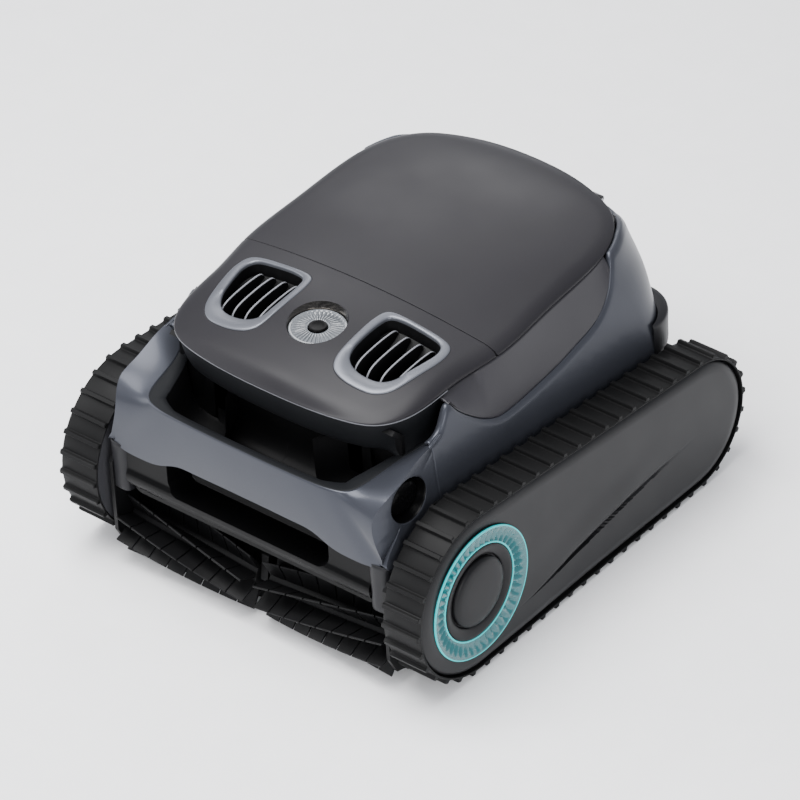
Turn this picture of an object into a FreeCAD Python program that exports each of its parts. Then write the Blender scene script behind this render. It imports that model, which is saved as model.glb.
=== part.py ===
# Cordless tracked pool cleaner, an assembly of separate pieces.
# Millimetres. +Z is up, the front with the brush is -Y, +X is the machine's left-to-right axis.
# The origin is on the floor under the middle of the machine's box.
import FreeCAD
import Part
import Sketcher
import math
import os

Vector = FreeCAD.Vector
SIDES = {"left": -1, "right": 1}

# Driving sizes, in millimetres and degrees.
SIZES = {
    # tracks: wheel centres, belt and cover
    "front_axle_y": -151.4, "front_axle_z": 88.6, "rear_axle_y": 166.9, "rear_axle_z": 73.1,
    "lug_height": 4.3, "lug_width": 4.6, "lug_count": 56, "belt_thickness": 2.0, "belt_play": 0.3,
    "belt_inner_x": 168.8, "belt_outer_x": 211.4, "cover_gap": 1.0, "cover_inner_x": 205.0,
    "cover_outer_x": 212.3, "ring_floor_x": 208.3, "ring_outer_radius": 65.0,
    "ring_inner_radius": 47.2, "ring_face_x": 213.2, "hub_cap_radius": 34.7, "hub_cap_face_x": 214.0,
    "hub_cap_round": 4.0, "recess_play": 0.3,
    # wheels, axles and gears
    "wheel_inner_x": 169.2, "wheel_outer_x": 203.6, "wheel_web": 6.0, "wheel_rim": 8.0,
    "hub_radius": 18.0, "axle_radius": 6.0, "running_fit": 0.05, "shaft_end_x": 142.0,
    "gear_inner_x": 163.6, "brush_gear_outer_x": 167.8, "drive_teeth": 60, "brush_teeth": 30,
    "gear_module": 1.5, "gear_direction": 230.0, "tooth_backlash": 0.36, "tooth_slope": 20.0,
    "addendum_factor": 0.9, "dedendum_factor": 1.25,
    # brush rollers
    "brush_y": -194.79, "brush_z": 36.89, "brush_radius": 35.6, "brush_core_radius": 13.0,
    "brush_inner_x": 6.5, "brush_outer_x": 157.5, "blade_thickness": 3.0, "blade_count": 8,
    "brush_shaft_radius": 4.0, "bracket_half_width": 4.0, "shaft_gap": 0.5,
    # chassis and body
    "tub_half_width": 159.0, "tub_wall": 4.0, "frame_plate_outer_x": 163.0, "frame_block_outer_x": 204.6,
    "body_inner_x": 148.0, "flank_inner_x": 150.0, "flank_outer_x": 159.0, "panel_outer_x": 156.0,
    "arm_inner_x": 130.0, "arm_outer_x": 158.0, "sonar_y": -178.0, "sonar_z": 188.0,
    "sonar_radius": 19.0, "sonar_floor_x": 148.0, "sonar_face_x": 152.0, "sonar_play": 0.3,
    "screw_radius": 2.0, "screw_head_radius": 4.0, "screw_head_height": 2.5, "screw_length": 14.0,
    "screw_play": 0.1, "tub_floor_z": 20.0, "tub_floor_top_z": 26.0, "shaft_hole_play": 2.0,
    # inlet, filter well and basket
    "inlet_half_width": 54.0, "inlet_front_y": 26.0, "inlet_rear_y": 54.0, "well_half_width": 128.0,
    "well_front_y": -30.0, "well_rear_y": 190.0, "well_wall": 3.0, "well_floor_z": 96.0,
    "well_top_z": 252.0, "well_round": 22.0, "seal_top_z": 255.0, "seal_width": 6.0,
    "basket_half_width": 120.0, "basket_front_y": -22.0, "basket_rear_y": 182.0,
    "basket_floor_z": 104.0, "basket_top_z": 240.0, "basket_wall": 3.0, "basket_round": 14.0,
    "window_low_z": 126.0, "window_high_z": 226.0, "window_margin": 22.0, "mesh_thickness": 1.0,
    "handle_front_y": 73.0, "handle_rear_y": 87.0, "handle_top_z": 246.0,
    "flap_half_width": 58.0, "flap_front_y": 23.0, "flap_axis_y": 60.0, "flap_axis_z": 109.5,
    "flap_thickness": 2.0, "flap_rod_radius": 1.5, "flap_rod_half": 63.0, "flap_ear_inner_x": 59.0,
    "flap_ear_half": 3.5, "flap_ear_top_z": 112.5,
    # top covers
    "crown_radius": 750.0, "cover_half_width": 158.0, "cover_thickness": 5.0,
    "deck_front_round": 44.0, "lid_rear_round": 62.0, "covers_floor_z": 225.0,
    "covers_top_z": 300.0,
    "hinge_y": 200.0, "hinge_z": 257.0, "hinge_pin_radius": 2.0, "hinge_ear_radius": 5.0,
    "hinge_ear_inner_x": 68.0, "hinge_ear_outer_x": 80.0, "hinge_post": 5.0, "hinge_notch_play": 1.5,
    # nozzles, pumps
    "nozzle_x": 81.0, "nozzle_y": -105.0, "nozzle_z": 266.0, "nozzle_pitch": 6.6, "nozzle_roll": 6.2,
    "nozzle_half_width": 40.0, "nozzle_half_length": 46.0, "nozzle_rise": 1.6, "nozzle_depth": 9.0,
    "nozzle_round": 22.0, "mouth_half_width": 32.5, "mouth_half_length": 34.5, "mouth_offset": 6.5,
    "mouth_round": 16.0, "web_half_width": 23.0, "fin_end_gap": 1.5,
    "nozzle_play": 0.3, "fin_thickness": 2.0, "fin_pitch": 14.0, "fin_sink": 1.5,
    "duct_radius": 30.0, "duct_wall": 3.0, "duct_low_z": 150.0, "duct_high_z": 248.0,
    "strut_width": 4.0, "strut_height": 8.0, "pump_radius": 18.0, "pump_low_z": 105.0,
    "pump_high_z": 160.0, "pump_bore_z": 138.0, "pump_shaft_radius": 2.5, "pump_shaft_low_z": 140.0,
    "impeller_low_z": 170.0, "impeller_high_z": 188.0, "impeller_radius": 25.5,
    "impeller_hub_radius": 9.0, "impeller_blade": 2.4, "impeller_blades": 5,
    # power button
    "bezel_y": -108.0, "bezel_radius": 28.0, "bezel_low_z": 260.5, "bezel_top_z": 266.0,
    "bezel_play": 0.25, "button_radius": 8.75, "button_top_z": 267.5, "button_play": 0.1,
    "button_stem_radius": 3.0, "button_stem_low_z": 254.0, "button_plate_z": 259.0,
    # front and rear pieces
    "wall_step_x": 90.0, "wall_step_z": 250.0,
    "insert_front_y": -222.0, "insert_back_y": -216.0, "slot_half_width": 95.0, "slot_low_z": 108.0,
    "slot_high_z": 131.0, "insert_low_z": 86.0, "insert_high_z": 134.0,
    # drives, battery, control
    "drive_motor_radius": 17.0, "drive_motor_inner_x": 84.0, "drive_motor_outer_x": 154.5,
    "battery_half_width": 128.0, "battery_front_y": -138.0, "battery_rear_y": 6.0,
    "battery_top_z": 60.0, "battery_round": 6.0, "control_half_width": 52.0,
    "control_front_y": -128.0, "control_rear_y": -48.0, "control_top_z": 98.0,
    # charge socket and cap
    "charge_x": 56.0, "charge_z": 215.0, "socket_radius": 11.0, "socket_play": 0.25, "socket_front_y": 194.0,
    "flange_low_y": 210.4, "flange_high_y": 212.0, "flange_half_width": 12.0, "flange_low_z": 201.0,
    "flange_high_z": 234.0, "cap_thickness": 3.0, "cap_gap": 0.3, "cap_axis_y": 214.2,
    "cap_axis_z": 230.0, "cap_rod_radius": 1.2, "cap_rod_half": 8.0, "cap_half_width": 5.0,
    "cap_radius": 11.0, "cap_ear_half": 2.6, "cap_ear_inner": 5.8, "plug_radius": 5.0,
}

# Outlines in the YZ plane, as (y, z) corners.
TUB_OUTSIDE = [(-150, 20), (201, 20), (201, 124), (-185, 124), (-185, 80), (-150, 62)]
TUB_INSIDE = [(-146, 26), (197, 26), (197, 130), (-181, 130), (-181, 83), (-146, 65)]
FRAME_PLATE = [(-223, 34), (-214, 16), (-190, 10), (180, 10), (214, 40), (220, 74), (205, 108),
               (170, 132), (-100, 160), (-152, 166), (-200, 146), (-223, 112)]
FRAME_BLOCK = [(-60, 12), (92, 12), (92, 134), (-60, 148)]
FRAME_HOLLOW = [(-56, 16), (88, 16), (88, 130), (-56, 143.6)]
FLANK = [(-141, 124), (201, 124), (203, 160), (197, 200), (192, 230), (186, 248), (129, 248),
         (117, 234), (99, 213), (40, 199), (-18, 193.5), (-47, 194), (-58, 199), (-88, 221),
         (-112, 240), (-141, 230)]
SIDE_PANEL = [(-112, 240), (-88, 221), (-58, 199), (-47, 194), (-18, 193.5), (40, 199), (99, 213),
              (117, 234), (129, 248), (-30, 248), (-90, 244)]
FRONT_ARM = [(-221.5, 86), (-223, 134), (-221, 186), (-214, 198), (-189, 207), (-163, 212),
             (-141, 214), (-141, 124), (-185, 124), (-204, 110), (-207, 86)]
CROSSBAR = [(-223, 138), (-219, 134), (-204, 134), (-198, 141), (-200, 196), (-206, 201),
            (-213, 201), (-217.5, 197)]
HAND_WELL = [(-152, 124), (-148, 124), (-148, 226), (-160, 238), (-164, 235), (-152, 223)]
REAR_WALL = [(196, 124), (201, 124), (201, 190), (210, 196), (208, 235), (203, 259.5), (198, 259.5),
             (203, 235), (204.5, 199), (196, 193)]
REAR_GRIP = [(210, 196), (230, 189), (236, 150), (230, 150), (225, 183), (204, 192)]
BRUSH_BRACKET = [(-150, 61.5), (-173, 73.8), (-200, 64), (-204, 37), (-195, 30), (-186, 36), (-176, 52)]

# Ridge lines of the two top covers on the middle plane, as (y, z), front to rear.
DECK_RIDGE = [(-192, 241), (-182, 250), (-160, 260.5), (-134, 267.5), (-100, 272.5), (-30, 276)]
LID_RIDGE = [(-46, 275.5), (30, 280.5), (100, 283), (155, 280.5), (188, 275), (208, 269)]

# Plan outlines of the two top covers, as (x, y) corners; the end corners are rounded.
DECK_PLAN = [(-149, -38.3), (149, -38.3), (142, -96), (128, -180), (0, -187), (-128, -180), (-142, -96)]
LID_PLAN = [(149, -37.7), (149, 20), (144, 100), (134, 206), (-134, 206), (-144, 100), (-149, 20),
            (-149, -37.7)]

SCREW_PLACES = [(-140, -120), (140, -120), (-140, 20), (140, 20), (-140, 175), (140, 175)]


class Size:
    """A length that knows its value and the expression that gives it from the sheet."""

    def __init__(self, value, text):
        self.value = value
        self.text = text

    def __add__(self, other):
        other = plain(other)
        return Size(self.value + other.value, f"({self.text} + {other.text})")

    def __sub__(self, other):
        other = plain(other)
        return Size(self.value - other.value, f"({self.text} - {other.text})")

    def __mul__(self, factor):
        return Size(self.value * factor, f"({self.text} * {factor})")

    def __truediv__(self, factor):
        return Size(self.value / factor, f"({self.text} / {factor})")

    def __neg__(self):
        return Size(-self.value, f"(0 - {self.text})")


def plain(number):
    """Turns a plain number into a Size; a Size stays as it is."""
    if isinstance(number, Size):
        return number
    return Size(number, f"({number})")


class Sheet:
    """The spreadsheet of driving sizes; each alias is read as an attribute."""

    def __init__(self, doc, sizes):
        cells = doc.addObject("Spreadsheet::Sheet", "sizes")
        for row, (alias, value) in enumerate(sizes.items(), start=1):
            cells.set(f"A{row}", alias)
            cells.set(f"B{row}", str(value))
            cells.setAlias(f"B{row}", alias)
            setattr(self, alias, Size(float(value), f"sizes.{alias}"))
        doc.recompute()


# ---------------------------------------------------------------- sketch outlines
def fix_point(sketch, geometry, point, u, v):
    """Ties a sketch point to the place (u, v)."""
    for kind, axis, place in (("DistanceX", -2, u), ("DistanceY", -1, v)):
        if abs(place.value) < 1e-9:
            sketch.addConstraint(Sketcher.Constraint("PointOnObject", geometry, point, axis))
            continue
        index = sketch.addConstraint(Sketcher.Constraint(kind, -1, 1, geometry, point, place.value))
        sketch.setExpression(f"Constraints[{index}]", place.text)


def polygon(points):
    """A closed outline through its corners."""
    corners = [(plain(u), plain(v)) for u, v in points]

    def draw(sketch):
        lines = []
        for (u0, v0), (u1, v1) in zip(corners, corners[1:] + corners[:1]):
            ends = Vector(u0.value, v0.value, 0), Vector(u1.value, v1.value, 0)
            lines.append(sketch.addGeometry(Part.LineSegment(*ends), False))
        for line, following in zip(lines, lines[1:] + lines[:1]):
            sketch.addConstraint(Sketcher.Constraint("Coincident", line, 2, following, 1))
        for line, (u, v) in zip(lines, corners):
            fix_point(sketch, line, 1, u, v)
    return draw


def rectangle(u_low, u_high, v_low, v_high):
    """A rectangle between two pairs of limits."""
    return polygon([(u_low, v_low), (u_high, v_low), (u_high, v_high), (u_low, v_high)])


def rounded_rectangle(u_low, u_high, v_low, v_high, radius):
    """A rectangle with one radius at all four corners."""
    radius = plain(radius)
    left, right = plain(u_low) + radius, plain(u_high) - radius
    bottom, top = plain(v_low) + radius, plain(v_high) - radius
    centres = [(left, bottom), (right, bottom), (right, top), (left, top)]

    def draw(sketch):
        arcs = []
        for quarter, (u, v) in enumerate(centres):
            start = math.pi * (1 + quarter / 2)
            ring = Part.Circle(Vector(u.value, v.value, 0), Vector(0, 0, 1), radius.value)
            arc = sketch.addGeometry(Part.ArcOfCircle(ring, start, start + math.pi / 2), False)
            fix_point(sketch, arc, 3, u, v)
            rule = sketch.addConstraint(Sketcher.Constraint("Radius", arc, radius.value))
            sketch.setExpression(f"Constraints[{rule}]", radius.text)
            arcs.append(arc)
        for arc, following in zip(arcs, arcs[1:] + arcs[:1]):
            ends = sketch.getPoint(arc, 2), sketch.getPoint(following, 1)
            line = sketch.addGeometry(Part.LineSegment(*ends), False)
            sketch.addConstraint(Sketcher.Constraint("Tangent", arc, 2, line, 1))
            sketch.addConstraint(Sketcher.Constraint("Tangent", line, 2, following, 1))
    return draw


def circle(u, v, radius):
    """A full circle."""
    u, v, radius = plain(u), plain(v), plain(radius)

    def draw(sketch):
        shape = Part.Circle(Vector(u.value, v.value, 0), Vector(0, 0, 1), radius.value)
        index = sketch.addGeometry(shape, False)
        fix_point(sketch, index, 3, u, v)
        rule = sketch.addConstraint(Sketcher.Constraint("Radius", index, radius.value))
        sketch.setExpression(f"Constraints[{rule}]", radius.text)
    return draw


def hull(u0, v0, radius0, u1, v1, radius1):
    """Two circles, the first at the lower u, wrapped by their outer tangents."""
    ends = [[plain(a) for a in (u0, v0, radius0)], [plain(a) for a in (u1, v1, radius1)]]

    def draw(sketch):
        (ua, va, ra), (ub, vb, rb) = [[a.value for a in end] for end in ends]
        heading = math.atan2(vb - va, ub - ua)
        lean = math.acos((ra - rb) / math.hypot(ub - ua, vb - va))
        top, bottom = heading + lean, heading - lean
        spans = [(top, bottom + 2 * math.pi), (bottom, top)]
        arcs = []
        for (u, v, radius), span in zip(ends, spans):
            ring = Part.Circle(Vector(u.value, v.value, 0), Vector(0, 0, 1), radius.value)
            arcs.append(sketch.addGeometry(Part.ArcOfCircle(ring, *span), False))
        for angle in (top, bottom):
            reach = Vector(math.cos(angle), math.sin(angle), 0)
            line = Part.LineSegment(Vector(ua, va, 0) + reach * ra, Vector(ub, vb, 0) + reach * rb)
            arcs.append(sketch.addGeometry(line, False))
        front, rear, upper, lower = arcs
        for rule in ((upper, 1, front, 1), (upper, 2, rear, 2), (lower, 1, front, 2), (lower, 2, rear, 1)):
            sketch.addConstraint(Sketcher.Constraint("Tangent", *rule))
        for arc, (u, v, radius) in zip((front, rear), ends):
            fix_point(sketch, arc, 3, u, v)
            rule = sketch.addConstraint(Sketcher.Constraint("Radius", arc, radius.value))
            sketch.setExpression(f"Constraints[{rule}]", radius.text)
    return draw


def arched_band(crown, radius, half_width, thickness):
    """A band of one thickness that arches over the middle plane."""

    def draw(sketch):
        half_angle = math.asin(half_width.value / radius.value)
        span = (math.pi / 2 - half_angle, math.pi / 2 + half_angle)
        arcs = []
        for top in (plain(crown), plain(crown) - thickness):
            middle = top - radius
            ring = Part.Circle(Vector(0, middle.value, 0), Vector(0, 0, 1), radius.value)
            arc = sketch.addGeometry(Part.ArcOfCircle(ring, *span), False)
            fix_point(sketch, arc, 3, plain(0), middle)
            for end, place in ((1, half_width), (2, -half_width)):
                rule = sketch.addConstraint(Sketcher.Constraint("DistanceX", -1, 1, arc, end, place.value))
                sketch.setExpression(f"Constraints[{rule}]", place.text)
            rule = sketch.addConstraint(Sketcher.Constraint("Radius", arc, radius.value))
            sketch.setExpression(f"Constraints[{rule}]", radius.text)
            arcs.append(arc)
        for end in (1, 2):
            places = [sketch.getPoint(arc, end) for arc in arcs]
            line = sketch.addGeometry(Part.LineSegment(*places), False)
            for own_end, arc in zip((1, 2), arcs):
                sketch.addConstraint(Sketcher.Constraint("Coincident", line, own_end, arc, end))
    return draw


# ---------------------------------------------------------------- features
PLANES = {"X": "YZ_Plane", "Y": "XZ_Plane", "Z": "XY_Plane"}
DIRECTIONS = {"X": Vector(1, 0, 0), "Y": Vector(0, 1, 0), "Z": Vector(0, 0, 1)}


def new_body(doc, label):
    body = doc.addObject("PartDesign::Body", label)
    body.Label = label
    return body


def origin_feature(body, role):
    return next(item for item in body.Origin.OriginFeatures if item.Role == role)


def new_sketch(body, axis, offset, outlines):
    """A sketch across an axis; its own upward offset is measured along that axis."""
    sketch = body.newObject("Sketcher::SketchObject", body.Name + "_outline")
    sketch.AttachmentSupport = (origin_feature(body, PLANES[axis]), [""])
    sketch.MapMode = "FlatFace"
    sketch.setExpression("AttachmentOffset.Base.z", offset.text)
    for draw in outlines:
        draw(sketch)
    return sketch


def prism(body, axis, outlines, low, high, cut=False):
    """Adds, or cuts away, an outline carried along an axis from low to high."""
    low, high = plain(low), plain(high)
    outlines = outlines if isinstance(outlines, list) else [outlines]
    offset = -high if axis == "Y" else low
    sketch = new_sketch(body, axis, offset, outlines)
    before = body.Shape.Volume if cut else None
    feature = body.newObject("PartDesign::Pocket" if cut else "PartDesign::Pad", body.Name + "_step")
    feature.Profile = sketch
    feature.setExpression("Length", (high - low).text)
    feature.Reversed = cut
    body.Tip = feature
    body.Document.recompute()
    if cut and body.Shape.Volume > before - 1e-3:
        raise RuntimeError(f"{body.Label}: a pocket cut nothing")
    return feature


def round_edges(body, axis, radius, keep=None):
    """Rounds the straight edges that run along an axis; keep picks among them by their middle."""
    base = body.Tip
    names = []
    for index, edge in enumerate(base.Shape.Edges, start=1):
        if edge.Curve.TypeId != "Part::GeomLine":
            continue
        along = abs(edge.tangentAt(edge.FirstParameter).dot(DIRECTIONS[axis])) > 0.999
        if along and (keep is None or keep(edge.CenterOfMass)):
            names.append(f"Edge{index}")
    fillet = body.newObject("PartDesign::Fillet", body.Name + "_round")
    fillet.Base = (base, names)
    fillet.setExpression("Radius", radius.text)
    body.Tip = fillet
    body.Document.recompute()


def turn_copies(body, feature, axis, count):
    """Repeats a feature evenly round an axis of the body."""
    pattern = body.newObject("PartDesign::PolarPattern", body.Name + "_copies")
    pattern.Originals = [feature]
    pattern.Axis = (origin_feature(body, f"{axis}_Axis"), [""])
    pattern.Angle = 360
    pattern.setExpression("Occurrences", count.text)
    body.Tip = pattern
    body.Document.recompute()


def place(item, x=None, y=None, z=None, rotation=None):
    """Moves a piece to a place given by sizes, turned about its own origin."""
    if rotation is not None:
        item.Placement = FreeCAD.Placement(Vector(0, 0, 0), rotation)
    for name, value in (("x", x), ("y", y), ("z", z)):
        if value is not None:
            item.setExpression(f"Placement.Base.{name}", plain(value).text)


def combine(doc, kind, label, base, tools):
    """A Part boolean; several tools are joined first."""
    tool = tools[0]
    if len(tools) > 1:
        tool = doc.addObject("Part::MultiFuse", label + "_tools")
        tool.Shapes = tools
    result = doc.addObject(kind, label)
    result.Base = base
    result.Tool = tool
    result.Label = label
    return result


def span(side, low, high):
    """Limits along X for a piece on one side of the middle plane."""
    return (low, high) if side > 0 else (-high, -low)


# ---------------------------------------------------------------- tracks
def wheel_outline(d, shrink_front, shrink_rear):
    """The loop round both wheels, drawn in by a distance from the lug tips."""
    return hull(d.front_axle_y, d.front_axle_z, d.front_axle_z - shrink_front,
                d.rear_axle_y, d.rear_axle_z, d.rear_axle_z - shrink_rear)


def track_path(d):
    """Points and outward angles evenly spaced round the belt, from the middle of the bottom run."""
    grip = d.lug_height.value
    ya, za, yb, zb = [s.value for s in (d.front_axle_y, d.front_axle_z, d.rear_axle_y, d.rear_axle_z)]
    ra, rb = za - grip, zb - grip
    length = math.hypot(yb - ya, zb - za)
    slope = math.atan2(zb - za, yb - ya)
    top = slope + math.acos((ra - rb) / length)
    run = math.sqrt(length ** 2 - (ra - rb) ** 2)
    parts = [("line", (yb + ya) / 2, zb - rb, -math.pi / 2, (yb - ya) / 2, 1),
             ("arc", yb, zb, rb, -math.pi / 2, top),
             ("line", yb + rb * math.cos(top), zb + rb * math.sin(top), top, run, -1),
             ("arc", ya, za, ra, top, 3 * math.pi / 2),
             ("line", ya, za - ra, -math.pi / 2, (yb - ya) / 2, 1)]
    lengths = [p[4] if p[0] == "line" else p[3] * (p[5] - p[4]) for p in parts]
    count = int(d.lug_count.value)
    places = []
    for step in range(count):
        left = sum(lengths) * step / count
        for piece, size in zip(parts, lengths):
            if left <= size:
                break
            left -= size
        if piece[0] == "line":
            _, y, z, angle, _, _ = piece
            places.append((y - left * math.sin(angle), z + left * math.cos(angle), angle))
        else:
            _, y, z, radius, start, _ = piece
            angle = start + left / radius
            places.append((y + radius * math.cos(angle), z + radius * math.sin(angle), angle))
    return places


def loop_face(d, inset):
    """The flat face inside the loop round both wheels, at x = 0."""
    ya, za, yb, zb = [s.value for s in (d.front_axle_y, d.front_axle_z, d.rear_axle_y, d.rear_axle_z)]
    ra, rb = za - inset, zb - inset
    lean = math.acos((ra - rb) / math.hypot(yb - ya, zb - za))
    heading = math.atan2(zb - za, yb - ya)

    def on_circle(y, z, radius, angle):
        return Vector(0, y + radius * math.cos(angle), z + radius * math.sin(angle))

    top, bottom = heading + lean, heading - lean
    points = [on_circle(ya, za, ra, top), on_circle(ya, za, ra, math.pi), on_circle(ya, za, ra, bottom),
              on_circle(yb, zb, rb, bottom), on_circle(yb, zb, rb, 0), on_circle(yb, zb, rb, top)]
    edges = [Part.Arc(*points[0:3]).toShape(), Part.makeLine(points[2], points[3]),
             Part.Arc(*points[3:6]).toShape(), Part.makeLine(points[5], points[0])]
    return Part.Face(Part.Wire(edges))


def track_belt(doc, d, name, side):
    """Rubber belt with full-width lugs; every lug follows the loop, so it is computed."""
    low, high = [s.value for s in span(side, d.belt_inner_x, d.belt_outer_x)]
    width = Vector(high - low, 0, 0)
    outer = loop_face(d, d.lug_height.value).extrude(width)
    inner = loop_face(d, d.lug_height.value + d.belt_thickness.value).extrude(width)
    root = d.belt_thickness.value / 2
    lugs = []
    for y, z, angle in track_path(d):
        lug = Part.makeBox(width.x, d.lug_height.value + root, d.lug_width.value,
                           Vector(0, -root, -d.lug_width.value / 2))
        lug.rotate(Vector(0, 0, 0), Vector(1, 0, 0), math.degrees(angle))
        lug.translate(Vector(0, y, z))
        lugs.append(lug)
    belt = doc.addObject("Part::Feature", name)
    belt.Label = name
    belt.Shape = outer.cut(inner).fuse(lugs).removeSplitter()
    belt.Placement = FreeCAD.Placement(Vector(low, 0, 0), FreeCAD.Rotation())
    return belt


def track_cover(doc, d, name, side):
    """Outer plate of the track with a round recess for the light ring."""
    body = new_body(doc, name)
    inset = d.lug_height + d.belt_thickness + d.cover_gap
    prism(body, "X", wheel_outline(d, inset, inset), *span(side, d.cover_inner_x, d.cover_outer_x))
    recess = circle(d.front_axle_y, d.front_axle_z, d.ring_outer_radius + d.recess_play)
    prism(body, "X", recess, *span(side, d.ring_floor_x, d.cover_outer_x), cut=True)
    return body


def light_ring(doc, d, name, side):
    """Clear ring that lies in the recess of the track cover."""
    body = new_body(doc, name)
    rings = [circle(d.front_axle_y, d.front_axle_z, d.ring_outer_radius),
             circle(d.front_axle_y, d.front_axle_z, d.ring_inner_radius)]
    prism(body, "X", rings, *span(side, d.ring_floor_x, d.ring_face_x))
    return body


def hub_cap(doc, d, name, side):
    """Round cap in the middle of the light ring, with a rounded edge."""
    body = new_body(doc, name)
    disc = circle(d.front_axle_y, d.front_axle_z, d.hub_cap_radius)
    prism(body, "X", disc, *span(side, d.ring_floor_x, d.hub_cap_face_x))
    base = body.Tip
    face = side * d.hub_cap_face_x.value
    rims = [f"Edge{index}" for index, edge in enumerate(base.Shape.Edges, start=1)
            if edge.Curve.TypeId == "Part::GeomCircle" and abs(edge.Curve.Center.x - face) < 1e-6]
    fillet = body.newObject("PartDesign::Fillet", name + "_round")
    fillet.Base = (base, rims)
    fillet.setExpression("Radius", d.hub_cap_round.text)
    body.Tip = fillet
    return body


def drive_sprocket(doc, d, name, side):
    """Front track wheel: web, rim and hub, with the shaft that enters the drive motor."""
    body = new_body(doc, name)
    radius = d.front_axle_z - d.lug_height - d.belt_thickness - d.belt_play
    centre = (d.front_axle_y, d.front_axle_z)
    prism(body, "X", circle(*centre, radius), *span(side, d.wheel_inner_x, d.wheel_outer_x))
    hollow = [circle(*centre, radius - d.wheel_rim), circle(*centre, d.hub_radius)]
    prism(body, "X", hollow, *span(side, d.wheel_inner_x + d.wheel_web, d.wheel_outer_x), cut=True)
    prism(body, "X", circle(*centre, d.axle_radius), *span(side, d.shaft_end_x, d.wheel_inner_x))
    return body


def idler_wheel(doc, d, name, side):
    """Rear track wheel, running on the side frame's axle."""
    body = new_body(doc, name)
    radius = d.rear_axle_z - d.lug_height - d.belt_thickness - d.belt_play
    centre = (d.rear_axle_y, d.rear_axle_z)
    bore = circle(*centre, d.axle_radius + d.running_fit)
    prism(body, "X", [circle(*centre, radius), bore], *span(side, d.wheel_inner_x, d.wheel_outer_x))
    hollow = [circle(*centre, radius - d.wheel_rim), circle(*centre, d.hub_radius)]
    prism(body, "X", hollow, *span(side, d.wheel_inner_x + d.wheel_web, d.wheel_outer_x), cut=True)
    return body


def gear(body, d, teeth, bore, low, high):
    """Straight-sided spur gear round the X axis of its body, with a tooth on +Y."""
    pitch = d.gear_module * (teeth.value / 2)
    tip = pitch + d.gear_module * d.addendum_factor.value
    root = pitch - d.gear_module * d.dedendum_factor.value
    half = d.gear_module.value * math.pi / 4 - d.tooth_backlash.value / 2
    lean = math.tan(math.radians(d.tooth_slope.value))
    tip_half = half - (tip.value - pitch.value) * lean
    root_half = half + (pitch.value - root.value) * lean
    outlines = [circle(0, 0, root)]
    if bore is not None:
        outlines.append(circle(0, 0, bore))
    prism(body, "X", outlines, low, high)
    sink = root - d.gear_module
    tooth = polygon([(sink, -root_half), (root, -root_half), (tip, -tip_half), (tip, tip_half),
                     (root, root_half), (sink, root_half)])
    turn_copies(body, prism(body, "X", tooth, low, high), "X", teeth)


def drive_gear(doc, d, name, side):
    """Spur gear on the inner face of the drive sprocket; it turns the brush."""
    body = new_body(doc, name)
    gear(body, d, d.drive_teeth, d.axle_radius, *span(side, d.gear_inner_x, d.wheel_inner_x))
    turn = FreeCAD.Rotation(Vector(1, 0, 0), d.gear_direction.value)
    place(body, y=d.front_axle_y, z=d.front_axle_z, rotation=turn)
    return body


def brush_roller(doc, d, name, side):
    """Brush core with straight rubber blades, its shaft, and the gear at its outer end."""
    body = new_body(doc, name)
    gear(body, d, d.brush_teeth, None, *span(side, d.gear_inner_x, d.brush_gear_outer_x))
    prism(body, "X", circle(0, 0, d.brush_shaft_radius), *span(side, d.shaft_gap, d.gear_inner_x))
    prism(body, "X", circle(0, 0, d.brush_core_radius), *span(side, d.brush_inner_x, d.brush_outer_x))
    half = d.blade_thickness / 2
    blade = rectangle(d.brush_core_radius - half, d.brush_radius, -half, half)
    feature = prism(body, "X", blade, *span(side, d.brush_inner_x, d.brush_outer_x))
    turn_copies(body, feature, "X", d.blade_count)
    half_tooth = 180 / d.brush_teeth.value
    turn = FreeCAD.Rotation(Vector(1, 0, 0), d.gear_direction.value + 180 + half_tooth)
    place(body, y=d.brush_y, z=d.brush_z, rotation=turn)
    return body


def side_frame(doc, d, name, side):
    """Plate that carries sprocket, idler axle and brush end, with the hollow block under the cover."""
    body = new_body(doc, name)
    prism(body, "X", polygon(FRAME_PLATE), *span(side, d.tub_half_width, d.frame_plate_outer_x))
    block = span(side, d.frame_plate_outer_x, d.frame_block_outer_x)
    prism(body, "X", polygon(FRAME_BLOCK), *block)
    prism(body, "X", polygon(FRAME_HOLLOW), *block, cut=True)
    axle = circle(d.rear_axle_y, d.rear_axle_z, d.axle_radius)
    prism(body, "X", axle, *span(side, d.frame_plate_outer_x, d.wheel_outer_x))
    bores = [circle(d.front_axle_y, d.front_axle_z, d.axle_radius + d.running_fit),
             circle(d.brush_y, d.brush_z, d.brush_shaft_radius + d.running_fit)]
    prism(body, "X", bores, *span(side, d.tub_half_width, d.frame_plate_outer_x), cut=True)
    return body


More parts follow.
